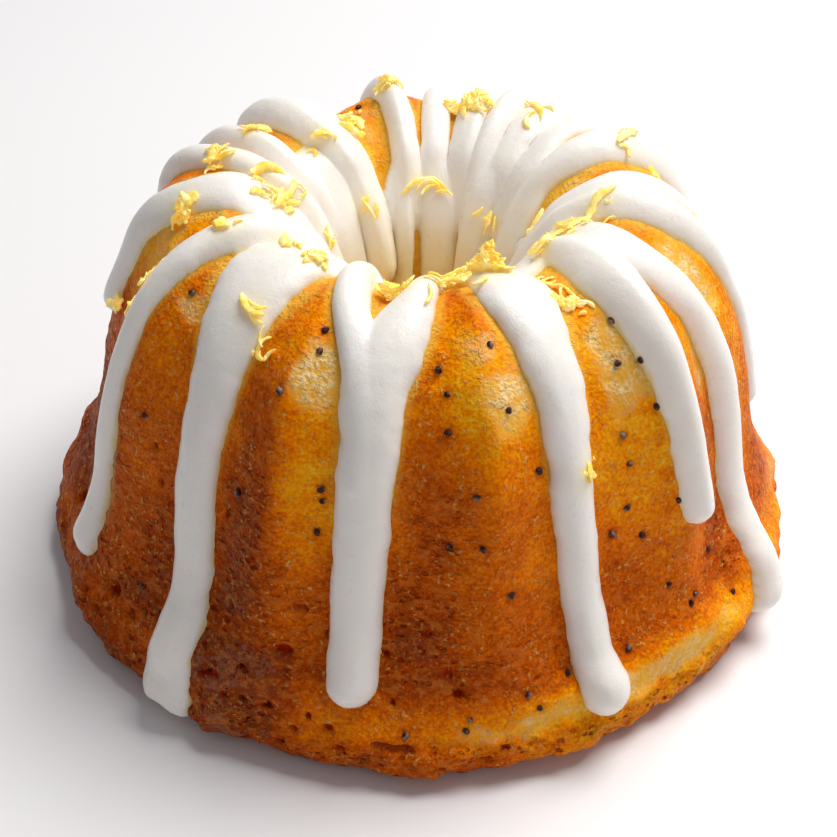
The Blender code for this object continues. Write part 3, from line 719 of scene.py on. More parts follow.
# The crack: azimuth and reach in degrees, arc and half width in millimetres, the height of
# its noise at which it begins and is full, and the degrees over which the unseen side starts.
CRACK_AZIMUTH, CRACK_REACH, CRACK_ARC, CRACK_HALF = -3.8, 3.0, 57.0, 0.5
CRACK_SHOWS, CRACK_BLEND = (0.15, 0.6), 20.0


def crust_tone(azimuth, arc, at, warp):
    """Tone from 0, cream, to 1, burnt: a curve along a wandering arc, a curve round the cake,
    a darkening low on the left, the spots, some of them painted light and shade on the flanks
    of the ridges, and a mottle."""
    line = arc + rough_noise(at, *LINE_WANDER)
    tone = np.interp(line, *zip(*TONE_BY_ARC)) + round_curve(azimuth, TONE_BY_AZIMUTH)
    left_weight = round_curve(azimuth, DARKER_LEFT_SIDE)
    for strength, start, full in LEFT_DARKENING_BY_ARC:
        tone += strength * left_weight * ramp(arc, start, full)
    # Some of the spots paint light and shade on the flanks of the ridges.
    return tone + spots(azimuth, arc, TONE_SPOTS, warp) + rough_noise(at, *MOTTLE)


def crack_depth(azimuth, arc, at):
    """1 along the crack: a bell across a wandering line, kept near the place where it is seen
    and, on the sides that are not seen, where a slow noise is high."""
    line = CRACK_ARC + rough_noise(at, *CRACK_WANDER)
    crack = np.exp(-((arc - line) / CRACK_HALF) ** 2)
    seen = np.exp(-(turn_between(azimuth, CRACK_AZIMUTH) / CRACK_REACH) ** 2)
    side = np.abs(turn_between(azimuth, 0.0))
    hidden = ramp(side, UNSEEN_SECTOR[0], UNSEEN_SECTOR[0] + CRACK_BLEND)
    return crack * ramp(seen + hidden * rough_noise(at, *CRACK_BREAKS), *CRACK_SHOWS)


def crust_values(azimuth, arc, at):
    """Tone, share of bare crumb, depth of the holes from 0 to 1, and the fine relief in
    millimetres: unevenness everywhere, and what crumb, browning, foot, bubbles and crack add
    to it or cut out of it."""
    warp = rough_noise(at, *EDGE_WARP)
    crumb = np.clip(spots(azimuth, arc, CRUMB_SPOTS, warp), 0, 1) * calm(arc)
    tone = crust_tone(azimuth, arc, at, warp)
    browned = ramp(tone, *BROWNED_TONES) * calm(arc)
    fine = holes(at + FINE_SHAKE * warp[..., None], *FINE_HOLES)
    large = holes(at + LARGE_SHAKE * warp[..., None], *LARGE_HOLES)
    large *= ramp(arc, *LARGE_HOLE_ARCS)
    burst = bubbles(azimuth, arc, warp)
    crack = crack_depth(azimuth, arc, at)
    # The pit value marks where the shader darkens the holes and the crack, partly as painted
    # shade.
    pit = np.maximum(np.maximum(FINE_SHADE * fine, large) * browned, burst)
    lace = LACE_DEPTH * (1.0 - np.abs(rough_noise(at, *LACE)))
    crags = rough_noise(at * CRAG_SQUEEZE, *CRAGS)
    torn = FINE_HOLE_DEPTH * fine + LARGE_HOLE_DEPTH * large
    relief = rough_noise(at, *UNEVEN) + crumb * (rough_noise(at, *TORN) - CRUMB_SINK)
    relief += browned * (lace + crags - torn)
    relief += ramp(arc, *FOOT_ARCS) * (rough_noise(at, *FOOT_CRAGS) - FOOT_HOLE_DEPTH * fine)
    relief -= BUBBLE_DEPTH * burst + crack
    return np.clip(tone, 0, 1), crumb, np.clip(pit + crack, 0, 1), relief * calm(arc)


# %% [markdown]
# ## The crust
# The cake itself is one closed surface: the profile swept round the ring, with rows close
# together where there is something to see. The relief is real, so that pits, crumb and the
# craggy foot catch the light from every side and show in the outline.

# %% The cake body
BODY_COLUMNS = 600
BODY_ROWS = 164
# How close the rows lie along the arc.
ROW_CLOSENESS = ((ARC_LOW, 0.25), (-12.0, 0.4), (-6.0, 1.0), (46.0, 1.0), (49.0, 1.5),
                 (61.0, 1.5), (65.0, 0.5), (ARC_HIGH, 0.4))
# Round each seed the crust is dimpled, and its tone is darker.
SEED_DIMPLE, SEED_DARKENING, SEED_REACH = 0.22, 0.10, 0.8
# The crust is moist beside the icing, until the icing's height has sunk under the crust by
# the reach: that in millimetres, how much is added to it at the crown, and between which arcs.
MOIST_REACH, MOIST_SPREAD, MOIST_CROWN = 2.0, 2.8, (12, 2)
# Heights in that reach at which the moisture begins and is full, and arcs where it fades away.
MOIST_EDGE, MOIST_FADE = (-1.0, -0.05), (16, 34)
STEPS_MEASURED = 2000


def uneven_steps(closeness, count):
    """Places along the arc whose spacing is the inverse of the closeness."""
    arcs, weights = zip(*closeness)
    fine = np.linspace(arcs[0], arcs[-1], STEPS_MEASURED)
    total = np.cumsum(np.interp(fine, arcs, weights))
    total = (total - total[0]) / (total[-1] - total[0])
    return np.interp(np.linspace(0, 1, count), total, fine)


def seed_nearness(at):
    """1 at the middle of a seed, falling as a bell over a little more than its radius."""
    near = np.zeros(at.shape[:-1])
    for middle in crust_point(SEEDS[:, 0], SEEDS[:, 1]):
        away = np.linalg.norm(at - middle, axis=-1)
        near = np.maximum(near, np.exp(-(away / SEED_REACH) ** 2))
    return near


def cake_surface():
    """Points, and the values for the shader, on rows of arc by columns of azimuth."""
    azimuth = np.arange(BODY_COLUMNS)[None, :] * 360.0 / BODY_COLUMNS + RIDGE_AZIMUTH
    arc = uneven_steps(ROW_CLOSENESS, BODY_ROWS)[:, None]
    azimuth, arc = np.broadcast_arrays(azimuth, arc)
    at = crust_point(azimuth, arc)
    tone, crumb, pit, relief = crust_values(azimuth, arc, at)
    near = seed_nearness(at)
    relief = relief - SEED_DIMPLE * near
    reach = MOIST_REACH + MOIST_SPREAD * ramp(arc, *MOIST_CROWN)
    moist = ramp(icing_height(azimuth, arc) / reach, *MOIST_EDGE) * (1 - ramp(arc, *MOIST_FADE))
    points = crust_point(azimuth, arc, relief)
    points[..., 2] = np.maximum(points[..., 2], 0.0)
    return points, {"tone": np.clip(tone + SEED_DARKENING * near, 0, 1), "crumb": crumb,
                    "pit": pit, "moist": moist}


# %% [markdown]
# Its material reads those values. The tone picks a colour from cream through gold and orange
# to red-brown, and a duller brown where it is all but burnt. Noises of six sizes break it up,
# from blotches down to a grain finer than the mesh; small pits lie where points strewn in
# space come near the crust; and pale specks lie over both, partly crumb and partly painted
# glints. The holes, pits, crack and low grain are painted a darker red-brown, partly the
# crust's own colour there and partly painted shade. Blotches, grain, lumps and pits are
# squeezed in height, because the batter tore in level streaks as it rose. Baked crust is
# slightly greasy, and that shows most on its specks.

# %% The crust's colours and patterns
CRUST_COLOURS = (
    (0.00, srgb(246, 214, 122)), (0.18, srgb(250, 188, 40)), (0.34, srgb(248, 152, 0)),
    (0.48, srgb(234, 118, 0)), (0.62, srgb(206, 90, 0)), (0.76, srgb(172, 68, 4)),
    (0.90, srgb(142, 64, 28)), (1.00, srgb(160, 96, 66)),
)
CRUMB_PALE, CRUMB_GOLD = srgb(248, 220, 160), srgb(238, 172, 48)
# The speck colour is partly pale crumb and partly painted glints.
SPECK_AND_GLINT, RAISED = srgb(246, 176, 76), srgb(218, 126, 48)
# The hollow colour is partly the crust's own red-brown in its holes and partly painted shade.
HOLLOW_AND_SHADE, MOIST = srgb(160, 30, 0), srgb(246, 196, 76)
# Noises: size in millimetres, detail, roughness. The streak squeezes the first row in height.
STREAK = 1.5
BLOTCHES, GRAIN, LUMPS = (3.4, 3.0), (1.15, 4.0, 0.66), (1.5, 2.0, 0.45)
CLUMPS, FINE_GRAIN, FLECKS = (2.0, 2.0), (0.42, 2.0, 0.5), (0.62, 3.0, 0.6)
# Pits: size of the cells in millimetres, distance from a cell's point at the rim and inside.
PITS_SMALL, PITS_LARGE = (1.25, 0.33, 0.18), (3.3, 0.17, 0.11)
PIT_SHAKE, PIT_SHAKE_SIZE = 0.9, 1.3
# The crags of the foot begin at the first height and are full at the second, in millimetres.
CRAGS_FROM, CRAGS_FULL = 7.0, 4.6
# How far each noise moves the tone, and how far the pit shade darkens it in the pits, as
# painted shade. The grain has one swing on pale crust, one on browned.
BLOTCH_SWING, FINE_SWING, PIT_SHADE, GRAIN_SWINGS = 0.26, 0.56, 0.12, (0.36, 0.60)
# Weights in the relief, beside a weight of 1 for the grain where the crust is browned.
LUMP_HEIGHT, SPECK_HEIGHT, PORE_DEPTH = 1.2, 0.32, 1.3


def crust_patterns(tree):
    """What colour, gloss and relief share, by name: the values on the mesh, the noises, how
    browned a place is, the pores, and the specks."""
    place = object_place(tree)
    level = add(tree, "ShaderNodeMapping", {"Vector": place, "Scale": (1.0, 1.0, STREAK)})
    on_mesh = {name: stored(tree, name) for name in ("tone", "crumb", "pit", "moist")}
    look = SimpleNamespace(**on_mesh)
    look.blotch, look.grain, look.lumps = (noise(tree, level, *kind)
                                           for kind in (BLOTCHES, GRAIN, LUMPS))
    look.clump, look.fine, flecks = (noise(tree, place, *kind)
                                     for kind in (CLUMPS, FINE_GRAIN, FLECKS))
    over_floor = add(tree, "ShaderNodeSeparateXYZ", {"Vector": place}).node.outputs["Z"]
    foot = spread(tree, over_floor, CRAGS_FROM * MM, CRAGS_FULL * MM)
    look.browned = maths(tree, 'MAXIMUM', foot, spread(tree, look.tone, 0.44, 0.70))

    shake = noise(tree, place, PIT_SHAKE_SIZE).node.outputs["Color"]
    shaken = add(tree, "ShaderNodeVectorMath", {0: shake, 1: (PIT_SHAKE * MM,) * 3, 2: level},
                 operation='MULTIPLY_ADD')
    small, large = (spread(tree, cells(tree, shaken, size), rim, inside)
                    for size, rim, inside in (PITS_SMALL, PITS_LARGE))
    small = maths(tree, 'MULTIPLY', small, spread(tree, look.clump, 0.42, 0.53))
    pitted = maths(tree, 'MAXIMUM', foot, spread(tree, look.tone, 0.56, 0.78))
    look.pores = maths(tree, 'MULTIPLY', maths(tree, 'MAXIMUM', small, large), pitted)
    # Pale specks, partly crumb and partly painted glints.
    gate = maths(tree, 'MULTIPLY', spread(tree, look.clump, 0.42, 0.58, 0.1, 1.0),
                 spread(tree, look.tone, 0.95, 0.6, 0.45, 0.8))
    look.speck = maths(tree, 'MULTIPLY', spread(tree, flecks, 0.57, 0.66), gate)
    return look


# %% The crust's material
def crust_colour(tree, look):
    """The tone, moved by the noises and darkened in the pits as painted shade, looked up in the
    row of colours; then, one over another, dark hollows that are partly painted shade, paler
    lumps, specks that are partly painted glints, bare crumb, and the moist edge of the icing."""
    value = shifted(tree, look.tone, look.blotch, BLOTCH_SWING)
    swing = spread(tree, look.browned, 0.0, 1.0, *GRAIN_SWINGS)
    value = shifted(tree, value, look.grain, swing)
    value = shifted(tree, value, look.fine, FINE_SWING)
    # The tone is darkened in the pits, and the low grain, pits and pores turn a red-brown, partly
    # the crust's own and partly painted shade.
    colour = stops(tree, stacked(tree, value, (look.pit, PIT_SHADE)), CRUST_COLOURS)
    hollow_shade = maths(tree, 'MULTIPLY', spread(tree, look.grain, 0.47, 0.36, 0.0, 0.6),
                   look.browned)
    hollow_shade = maths(tree, 'MAXIMUM', hollow_shade, spread(tree, look.pit, 0.30, 0.80, 0.0, 0.95))
    hollow_shade = maths(tree, 'MAXIMUM', hollow_shade, maths(tree, 'MULTIPLY', look.pores, 0.9))
    colour = mixed(tree, hollow_shade, colour, HOLLOW_AND_SHADE)
    raised = maths(tree, 'MULTIPLY', spread(tree, look.lumps, 0.51, 0.62),
                   spread(tree, look.fine, 0.34, 0.54, 0.12, 0.50))
    colour = mixed(tree, maths(tree, 'MULTIPLY', raised, look.browned), colour, RAISED)
    # Pale specks, partly painted glints.
    colour = mixed(tree, look.speck, colour, SPECK_AND_GLINT)
    pale = maths(tree, 'MULTIPLY', spread(tree, look.fine, 0.38, 0.56, 0.15, 1.0),
                 spread(tree, look.clump, 0.40, 0.56, 0.15, 1.0))
    bare = spread(tree, stacked(tree, look.crumb, (look.grain, 1.1)), 0.70, 1.45, 0.0, 0.95)
    colour = mixed(tree, bare, colour, mixed(tree, pale, CRUMB_GOLD, CRUMB_PALE))
    moist = maths(tree, 'MULTIPLY', look.moist, spread(tree, look.clump, 0.35, 0.6, 0.4, 0.8))
    return mixed(tree, moist, colour, MOIST)


def crust_relief(tree, look):
    """Height of the relief that is finer than the mesh: grain and lumps, strongest on browned
    crust, specks that stand out, pores cut in, and the fine grain."""
    rough = spread(tree, look.browned, 0.0, 1.0, 0.12, 1.0)
    grain = maths(tree, 'MULTIPLY', look.grain, rough)
    lumps = maths(tree, 'MULTIPLY', look.lumps, look.browned)
    gritty = spread(tree, look.clump, 0.42, 0.6, 0.24, 0.48)
    return stacked(tree, grain, (lumps, LUMP_HEIGHT), (look.speck, SPECK_HEIGHT),
                   (look.pores, -PORE_DEPTH), (look.fine, gritty))


def crust_material():
    """Baked crust: hardly glossy but for its specks, and lit a little from inside."""
    material, tree, shader = new_material("baked_crust")
    look = crust_patterns(tree)
    feed(tree, shader, {
        "Base Color": crust_colour(tree, look),
        "Specular IOR Level": spread(tree, look.speck, 0.0, 0.8, 0.03, 0.35),
        "Roughness": spread(tree, look.grain, 0.3, 0.7, 0.26, 0.50),
        "Subsurface Weight": 0.06,
        "Subsurface Radius": (1.0, 0.4, 0.12),
        "Subsurface Scale": 1.0 * MM,
        "Normal": bumps(tree, crust_relief(tree, look), 0.95, 0.6),
    })
    return material


body_points, body_values = cake_surface()
print(f"mean tone of the crust {body_values['tone'].mean():.2f}")
piece("cake_body", body_points, ring_faces(BODY_ROWS, BODY_COLUMNS), crust_material(),
      "crust", **body_values)

# %% [markdown]
# ## The icing
# The height from above is laid on the same map, on a finer grid, and only the cells where
# there is icing are kept. Its hem dips under the crust, so the visible edge is where two
# smooth surfaces cross, with no steps. The back, inside the cake, needs no detail: one large
# cell there stands for four fine ones in front, and it takes in the middles of its sides
# where it meets the hem, so that the shell is closed.

# %% The icing as a shell
ICING_COLUMNS = 720
ICING_ROWS = 190
ICING_CLOSENESS = ((-43.0, 0.4), (-12.0, 0.5), (-8.0, 1.0), (64.0, 1.0))
HEM_DEPTH, HEM_BLEND, BACK_DEPTH = 0.9, 0.3, 1.8
BULGE, BULGE_HEIGHT, GENTLE_SLOPE, NO_SLOPE = 0.28, 2.2, 0.4, 1e-6
# Noises: strength, size of the cells in millimetres, octaves, seed. The first two widen and
# narrow the ropes, by a share of their width; the third ripples the top, in millimetres.
EDGE_WANDER, EDGE_SHIVER = (0.09, 3.4, 1, 80), (0.045, 1.3, 1, 81)
RIPPLE, RIPPLE_HEIGHTS = (0.10, 4.5, 1, 82), (0.3, 1.5)
FLOOR_CLEARANCE = 0.03


def spread_icing(azimuth, arc):
    """Height of the icing and its points. The sides of a run are pushed out half way up, by
    a share that is largest there, against the slope of the height: that makes them steep at
    the crust, as surface tension does."""
    at = crust_point(azimuth, arc)
    wander = rough_noise(at, *EDGE_WANDER) + rough_noise(at, *EDGE_SHIVER)
    height = icing_height(azimuth, arc, wander)
    height = height + rough_noise(at, *RIPPLE) * ramp(height, *RIPPLE_HEIGHTS)
    scale = millimetres_per_degree(arc)
    slope_arc = np.gradient(height, arc[:, 0], axis=0)
    step = (azimuth[0, 1] - azimuth[0, 0]) * scale
    slope_side = (np.roll(height, -1, axis=1) - np.roll(height, 1, axis=1)) / (2 * step)
    steep = np.hypot(slope_arc, slope_side)
    level = np.clip(height / BULGE_HEIGHT, 0, 1)
    push = BULGE * 4 * level * (1 - level)
    push *= steep / (steep + GENTLE_SLOPE) / (steep + NO_SLOPE)
    azimuth = azimuth - push * slope_side / scale
    arc = arc - push * slope_arc
    lift = smooth_max(height, -HEM_DEPTH, HEM_BLEND)
    points = crust_point(azimuth, arc, lift)
    points[..., 2] = np.maximum(points[..., 2], FLOOR_CLEARANCE)
    return height, points


def iced_blocks(height):
    """Blocks of two by two cells that hold icing, with blocks that touch only at a corner
    joined by a third."""
    corners = np.concatenate((height, height[:, :1]), axis=1)
    blocks = np.zeros(((ICING_ROWS - 1) // 2, ICING_COLUMNS // 2), bool)
    for down, right in np.ndindex(3, 3):
        rows = corners[down:down + 2 * blocks.shape[0]:2]
        blocks |= rows[:, right:right + 2 * blocks.shape[1]:2] > -HEM_DEPTH
    for shift in (1, -1):
        over = np.roll(blocks, shift, axis=1)
        lone = blocks[1:] & over[:-1] & ~over[1:] & ~blocks[:-1]
        blocks[:-1] |= lone
    return blocks


def shell(blocks, front, back):
    """Vertices and faces of the closed shell. Front vertices are numbered over the fine
    grid; a back corner has its own vertex unless it lies on the rim of the icing."""
    rows, columns = front.shape[:2]
    fine = np.repeat(np.repeat(blocks, 2, axis=0), 2, axis=1)
    quads = cell_corners(*np.nonzero(fine), rows, columns)
    padded = np.pad(blocks, ((1, 1), (0, 0)))
    above, below = padded[:-1], padded[1:]
    inner = above & below & np.roll(above, 1, axis=1) & np.roll(below, 1, axis=1)
    number = 2 * np.arange(inner.shape[0])[:, None] * columns
    number = number + 2 * np.arange(inner.shape[1])[None, :]
    number = np.where(inner, number + rows * columns, number)
    r, c = np.nonzero(blocks)
    next_c = (c + 1) % blocks.shape[1]
    # Sides with no large cell beyond them, and the front vertex in the middle of each side.
    sides = (~padded[r, c], ~blocks[r, next_c], ~padded[r + 2, c], ~blocks[r, c - 1])
    top = 2 * r * columns
    middles = (top + 2 * c + 1, top + columns + (2 * c + 2) % columns,
               top + 2 * columns + 2 * c + 1, top + columns + 2 * c)
    corners = (number[r, c], number[r, next_c], number[r + 1, next_c], number[r + 1, c])
    ring = np.stack([part for corner, side, middle in zip(corners, sides, middles)
                     for part in (corner, np.where(side, middle, -1))], axis=-1)
    whole = (ring < 0).sum(axis=1) == 4
    faces = quads.tolist() + ring[whole][:, ::2].tolist()
    faces += [row[row >= 0].tolist() for row in ring[~whole]]
    points = np.concatenate((front.reshape(-1, 3), back.reshape(-1, 3)))
    return points, faces


def drop_unused(points, faces, values):
    """The same mesh without the points that no face names."""
    used = np.zeros(len(points), bool)
    used[np.concatenate([np.array(face) for face in faces])] = True
    order = np.cumsum(used) - 1
    faces = [[int(order[k]) for k in face] for face in faces]
    return points[used], faces, {key: value[used] for key, value in values.items()}


# %% [markdown]
# Set icing is white and a little waxy: light enters it and comes out nearby, which softens
# its shadows. Where it is thin, at the hems and deep in the hole, the cake shows through and
# it looks yellow, and zest leaves lemon stains. Both are stored on the vertices.

# %% The icing's material
ICING_WHITE, ICING_CREAM = srgb(249, 243, 237), srgb(246, 222, 140)
ICING_LEMON = srgb(250, 232, 120)
# Size of the cloudiness, the skin and the sugar, in millimetres.
ICING_NOISES = (3.0, 1.1, 0.26)


def icing_material():
    """Set icing: white with a soft gloss, creamier where it is thin, yellow where zest stains
    it, and with a skin of dried sugar."""
    material, tree, shader = new_material("poured_icing")
    place = object_place(tree)
    cloud, skin, sugar = (noise(tree, place, size) for size in ICING_NOISES)
    thin = stacked(tree, stored(tree, "thin"), (cloud, 0.3))
    colour = mixed(tree, spread(tree, thin, 0.35, 1.3), ICING_WHITE, ICING_CREAM)
    height = stacked(tree, maths(tree, 'MULTIPLY', skin, 0.8), (sugar, 0.45), (cloud, 1.4))
    feed(tree, shader, {
        "Base Color": mixed(tree, stored(tree, "lemon"), colour, ICING_LEMON),
        "Specular IOR Level": 0.5,
        "Roughness": spread(tree, skin, 0.3, 0.7, 0.26, 0.42),
        "Subsurface Weight": 0.5,
        "Subsurface Radius": (1.0, 0.7, 0.5),
        "Subsurface Scale": 2.2 * MM,
        "Normal": bumps(tree, height, 0.5, 0.16),
    })
    return material


# %% [markdown]
# ## Lemon zest
# Zest comes off a fine grater as limp strips, some straight, some curled, thinner at the
# ends. Each strip here is a flat oval section carried along a path that bends steadily and
# arches over whatever it lies on, twisting as it goes. Thinner strips lie beside it, and
# where the zest fell in a clump, short flakes are heaped up. All strips are computed at once,
# as one array of strips by stations by points of the section.

# %% Zest strips
# Azimuth, arc, heading (0 points down the profile), length, width, bend in degrees.
ZEST = (
    (20, -1.5, 70, 4.4, 1.8, 60), (17, -4, 100, 3.6, 1.6, -40), (-10, -0.5, 85, 3.6, 1.6, 30),
    (-13, -2.4, 60, 3.4, 1.2, 50), (4, -1.6, 82, 5.6, 0.7, -70), (8, -4.6, 95, 5.4, 0.7, 60),
    (34.5, 3.2, 20, 6.2, 0.8, 60), (37.5, 5.4, 60, 3.6, 0.5, -110), (33.5, 0.6, 30, 4.2, 0.9, 60),
    (66, -4.4, 60, 5.6, 1.1, 40), (79, -2.2, 50, 5.8, 1, -40), (47, -4.2, 75, 4, 1.2, 30),
    (104, -11.5, 20, 4.2, 1, 60), (138, -15.4, 0, 3.4, 1, 30), (-179, -12, 90, 7.4, 0.9, 100),
    (165, -0.6, 40, 4.6, 1.2, -60), (161, -0.2, 70, 4.2, 1.1, 80), (144, 1.2, 55, 5.2, 1.1, 50),
    (137, 6.5, 20, 4, 1, -80), (104, 7, 80, 4.6, 1.3, 40), (92, 10.5, 50, 4.4, 1.1, 60),
    (-155, -0.5, 15, 5.2, 1.3, 50), (-149, -4, 70, 4.2, 1.2, -60), (-139, -13.6, 20, 3, 1.1, 40),
    (-99, -2.6, 25, 4.4, 1.2, 70), (-103, 3.4, 60, 4.2, 1.2, -40), (-87, 7, 15, 4.8, 2.1, 50),
    (-64, 2.8, 80, 3, 1.3, 120), (-92, -5.4, 80, 6.6, 1.1, -60), (-94, -13.2, 340, 2.4, 0.9, 50),
    (-50, -1.2, 70, 3.2, 1.2, 60), (-39, -1.8, 30, 4.2, 1.4, -70), (-69.6, 11.5, 20, 5.6, 1.4, 50),
    (-69.4, 16.5, 60, 4.6, 1.2, -50), (-40, 7.6, 75, 4.2, 1.1, 60), (-34.5, 11, 5, 4.4, 0.8, 170),
    (27.6, 25, 5, 2.6, 1.6, 40), (-120, 2, 50, 4, 1, 60), (115, 4.4, 30, 4.4, 1, -50),
    (-134, -3.6, 60, 2.8, 1.2, 40), (-168, 2.4, 60, 4, 1.2, 60),
)
# Clumps of torn zest: azimuth, arc, number of flakes, reach and height in millimetres.
ZEST_CLUMPS = (
    (20.5, -2.6, 46, 1.2, 2.6), (-11, -1.6, 14, 1.3, 1.4), (9, -3.8, 14, 1.8, 1),
    (36, 4.6, 6, 1.2, 0.4), (169, -0.6, 16, 1.4, 1), (163, -0.4, 12, 1.6, 0.8),
    (-151, -1.5, 8, 1.2, 0.6), (-90, -4.6, 14, 1.8, 0.6), (67, -4.4, 10, 1.3, 0.6),
    (-87, 7, 12, 1.3, 0.5), (-168, 2.4, 8, 1.2, 0.6), (-102, 3.2, 10, 1.4, 0.6),
    (-39, -1.8, 8, 1.2, 0.5), (-70, 13, 6, 1.4, 0.4), (-91, 26.5, 12, 1, 1.3),
)
ZEST_STATIONS, ZEST_SECTION = 16, 8
# Companions of a strip: their number, and how far they stray from its azimuth in millimetres
# and from the rest of its row. Their length is a share of its own, from the shortest up; their
# width is the thinnest plus a share of its own.
COMPANIONS, COMPANION_SHIFTS = 3, (1.1, 1.0, 50, 0, 0, 90)
SHORTEST_SHARE, LENGTH_SPAN = 0.15, 0.55
THINNEST, WIDTH_SPAN = 0.3, 0.35
# Flakes of a clump: how closely they keep to its reach, length and width in millimetres, bend.
HEAP_SPREAD, FLAKE_LENGTHS, FLAKE_WIDTHS, FLAKE_BENDS = 0.5, (0.7, 2.4), (0.4, 1.2), (-160, 160)


def all_strips():
    """The listed strips, thinner companions drawn at random by each of them, and the flakes
    of the clumps. The last column is how far a strip is raised."""
    listed = np.array(ZEST, float)
    rng = np.random.default_rng(DRAW_STRIPS)
    near = np.repeat(listed, COMPANIONS, axis=0)
    shift = COMPANION_SHIFTS * rng.normal(0, 1, (len(near), 6))
    shift[:, 0] /= millimetres_per_degree(near[:, 1])
    near += shift
    near[:, 3] *= SHORTEST_SHARE + LENGTH_SPAN * rng.random(len(near))
    near[:, 4] = THINNEST + WIDTH_SPAN * rng.random(len(near)) * near[:, 4]
    clumps = np.array(ZEST_CLUMPS, float)
    heaps = np.repeat(clumps, clumps[:, 2].astype(int), axis=0)
    count = len(heaps)
    away = rng.normal(0, HEAP_SPREAD, (count, 2)) * heaps[:, 3:4]
    flakes = np.stack((heaps[:, 0] + away[:, 0] / millimetres_per_degree(heaps[:, 1]),
                       heaps[:, 1] + away[:, 1], rng.uniform(0, 360, count),
                       rng.uniform(*FLAKE_LENGTHS, count), rng.uniform(*FLAKE_WIDTHS, count),
                       rng.uniform(*FLAKE_BENDS, count)), axis=-1)
    inward = np.exp(-(np.linalg.norm(away, axis=1) / heaps[:, 3]) ** 2)
    raised = heaps[:, 4] * inward * rng.random(count)
    strips = np.concatenate((listed, near, flakes))
    lifts = np.concatenate((np.zeros(len(listed) + len(near)), raised))
    return np.column_stack((strips, lifts))


strips = all_strips()
print(f"{len(strips)} strips and flakes of zest")


# %% The surface of the strips
ZEST_THICKNESS, ZEST_CRUMPLE, ZEST_RAGGED = 0.26, 0.16, 0.35
# The lift of a strip: its usual rise, the share of it in the middle, how much of that the
# ends lose, and the least lift of all.
ZEST_RISE, RISE_SHARE, END_DROPS, LEAST_LIFT = 0.5, 0.6, (-0.5, 1.0), 0.1
# Turn of the section about the path in degrees: at the middle, and from end to end.
TWIST_MIDDLE, TWIST_ALONG = (-50, 50), (-140, 140)
# The ends stay open by a hair, and no edge dips further than this under the path.
END_OPENING, LOWEST_EDGE, LOWEST_SHARE = 1.02, -0.25, 0.3


def strip_surface(strips):
    """Points of every strip. The path turns by its bend over its length; the lift is a
    parabola over a level half way from the ground to the highest ground that it crosses; the
    section is an oval whose width shrinks and whose angle turns along the way."""
    rng = np.random.default_rng(DRAW_SECTIONS)
    count = len(strips)
    azimuth, arc, heading, length, width, bend, raised = (strips[:, k, None] for k in range(7))
    t = np.linspace(-0.5, 0.5, ZEST_STATIONS)[None, :]
    turn = np.radians(heading + bend * t)
    step = length / (ZEST_STATIONS - 1)
    down = np.cumsum(np.cos(turn) * step, axis=1)
    across = np.cumsum(np.sin(turn) * step, axis=1)
    down -= down.mean(axis=1, keepdims=True)
    across -= across.mean(axis=1, keepdims=True)
    path_arc = arc + down
    path_azimuth = azimuth + across / millimetres_per_degree(path_arc)
    ground = np.maximum(icing_height(path_azimuth, path_arc), 0.0)
    ground = (ground + ground.max(axis=1, keepdims=True)) / 2
    sag = (2 * t) ** 2 * rng.uniform(*END_DROPS, (count, 1))
    lift = np.maximum(ground + ZEST_RISE * (RISE_SHARE - sag), LEAST_LIFT) + raised
    half = width / 2 * np.sqrt(np.clip(END_OPENING - np.abs(2 * t) ** 3, 0, 1))
    twist = rng.uniform(*TWIST_MIDDLE, (count, 1)) + rng.uniform(*TWIST_ALONG, (count, 1)) * t
    twist = np.radians(twist)[..., None]
    half = half[..., None]
    angle = np.arange(ZEST_SECTION) * 2 * np.pi / ZEST_SECTION
    ragged = 1.0 + ZEST_RAGGED * rng.uniform(-1, 1, (count, ZEST_STATIONS, ZEST_SECTION))
    flat = half * ragged * np.cos(angle)
    thick = ZEST_THICKNESS / 2 * np.sin(angle)
    side = flat * np.cos(twist) - thick * np.sin(twist)
    up = flat * np.sin(twist) + thick * np.cos(twist)
    up = np.maximum(up, LOWEST_EDGE - LOWEST_SHARE * half)
    up += ZEST_CRUMPLE * half * rng.uniform(-1, 1, (count, ZEST_STATIONS, 1))
    point_arc = path_arc[..., None] - side * np.sin(turn)[..., None]
    point_azimuth = path_azimuth[..., None] + (side * np.cos(turn)[..., None]
                                               / millimetres_per_degree(point_arc))
    return crust_point(point_azimuth, point_arc, lift[..., None] + up)


# %% The zest's material, and the zest
# The zest is given a painted glow: emitted light that stands in for light let through the thin
# shreds.
ZEST_PAINTED_GLOW = srgb(255, 212, 96)
# The palest colours are partly the peel's own and partly painted highlights.
ZEST_COLOURS = ((0.30, srgb(255, 202, 56)), (0.44, srgb(255, 222, 104)),
                (0.56, srgb(255, 238, 150)), (0.70, srgb(255, 248, 205)))
ZEST_PATCHES, ZEST_PORES = 1.6, 0.35


def zest_material():
    """Wet peel: patches from lemon to nearly white, the palest of them partly painted highlights,
    fine pores, and a painted glow, emitted light that stands in for the light that such thin
    shreds let through."""
    material, tree, shader = new_material("lemon_zest")
    place = object_place(tree)
    patch, pores = noise(tree, place, ZEST_PATCHES, 3.0), noise(tree, place, ZEST_PORES)
    feed(tree, shader, {
        "Base Color": stops(tree, patch, ZEST_COLOURS),
        "Roughness": 0.3,
        "Subsurface Weight": 0.3,
        "Subsurface Radius": (1.0, 0.75, 0.25),
        "Subsurface Scale": 0.8 * MM,
        # Painted glow.
        "Emission Color": ZEST_PAINTED_GLOW,
        "Emission Strength": 0.22,
        "Normal": bumps(tree, pores, 0.5, 0.12),
    })
    return material


zest_faces = tube_faces(len(strips), ZEST_STATIONS, ZEST_SECTION)
piece("lemon_zest", strip_surface(strips), zest_faces, zest_material(), "zest")

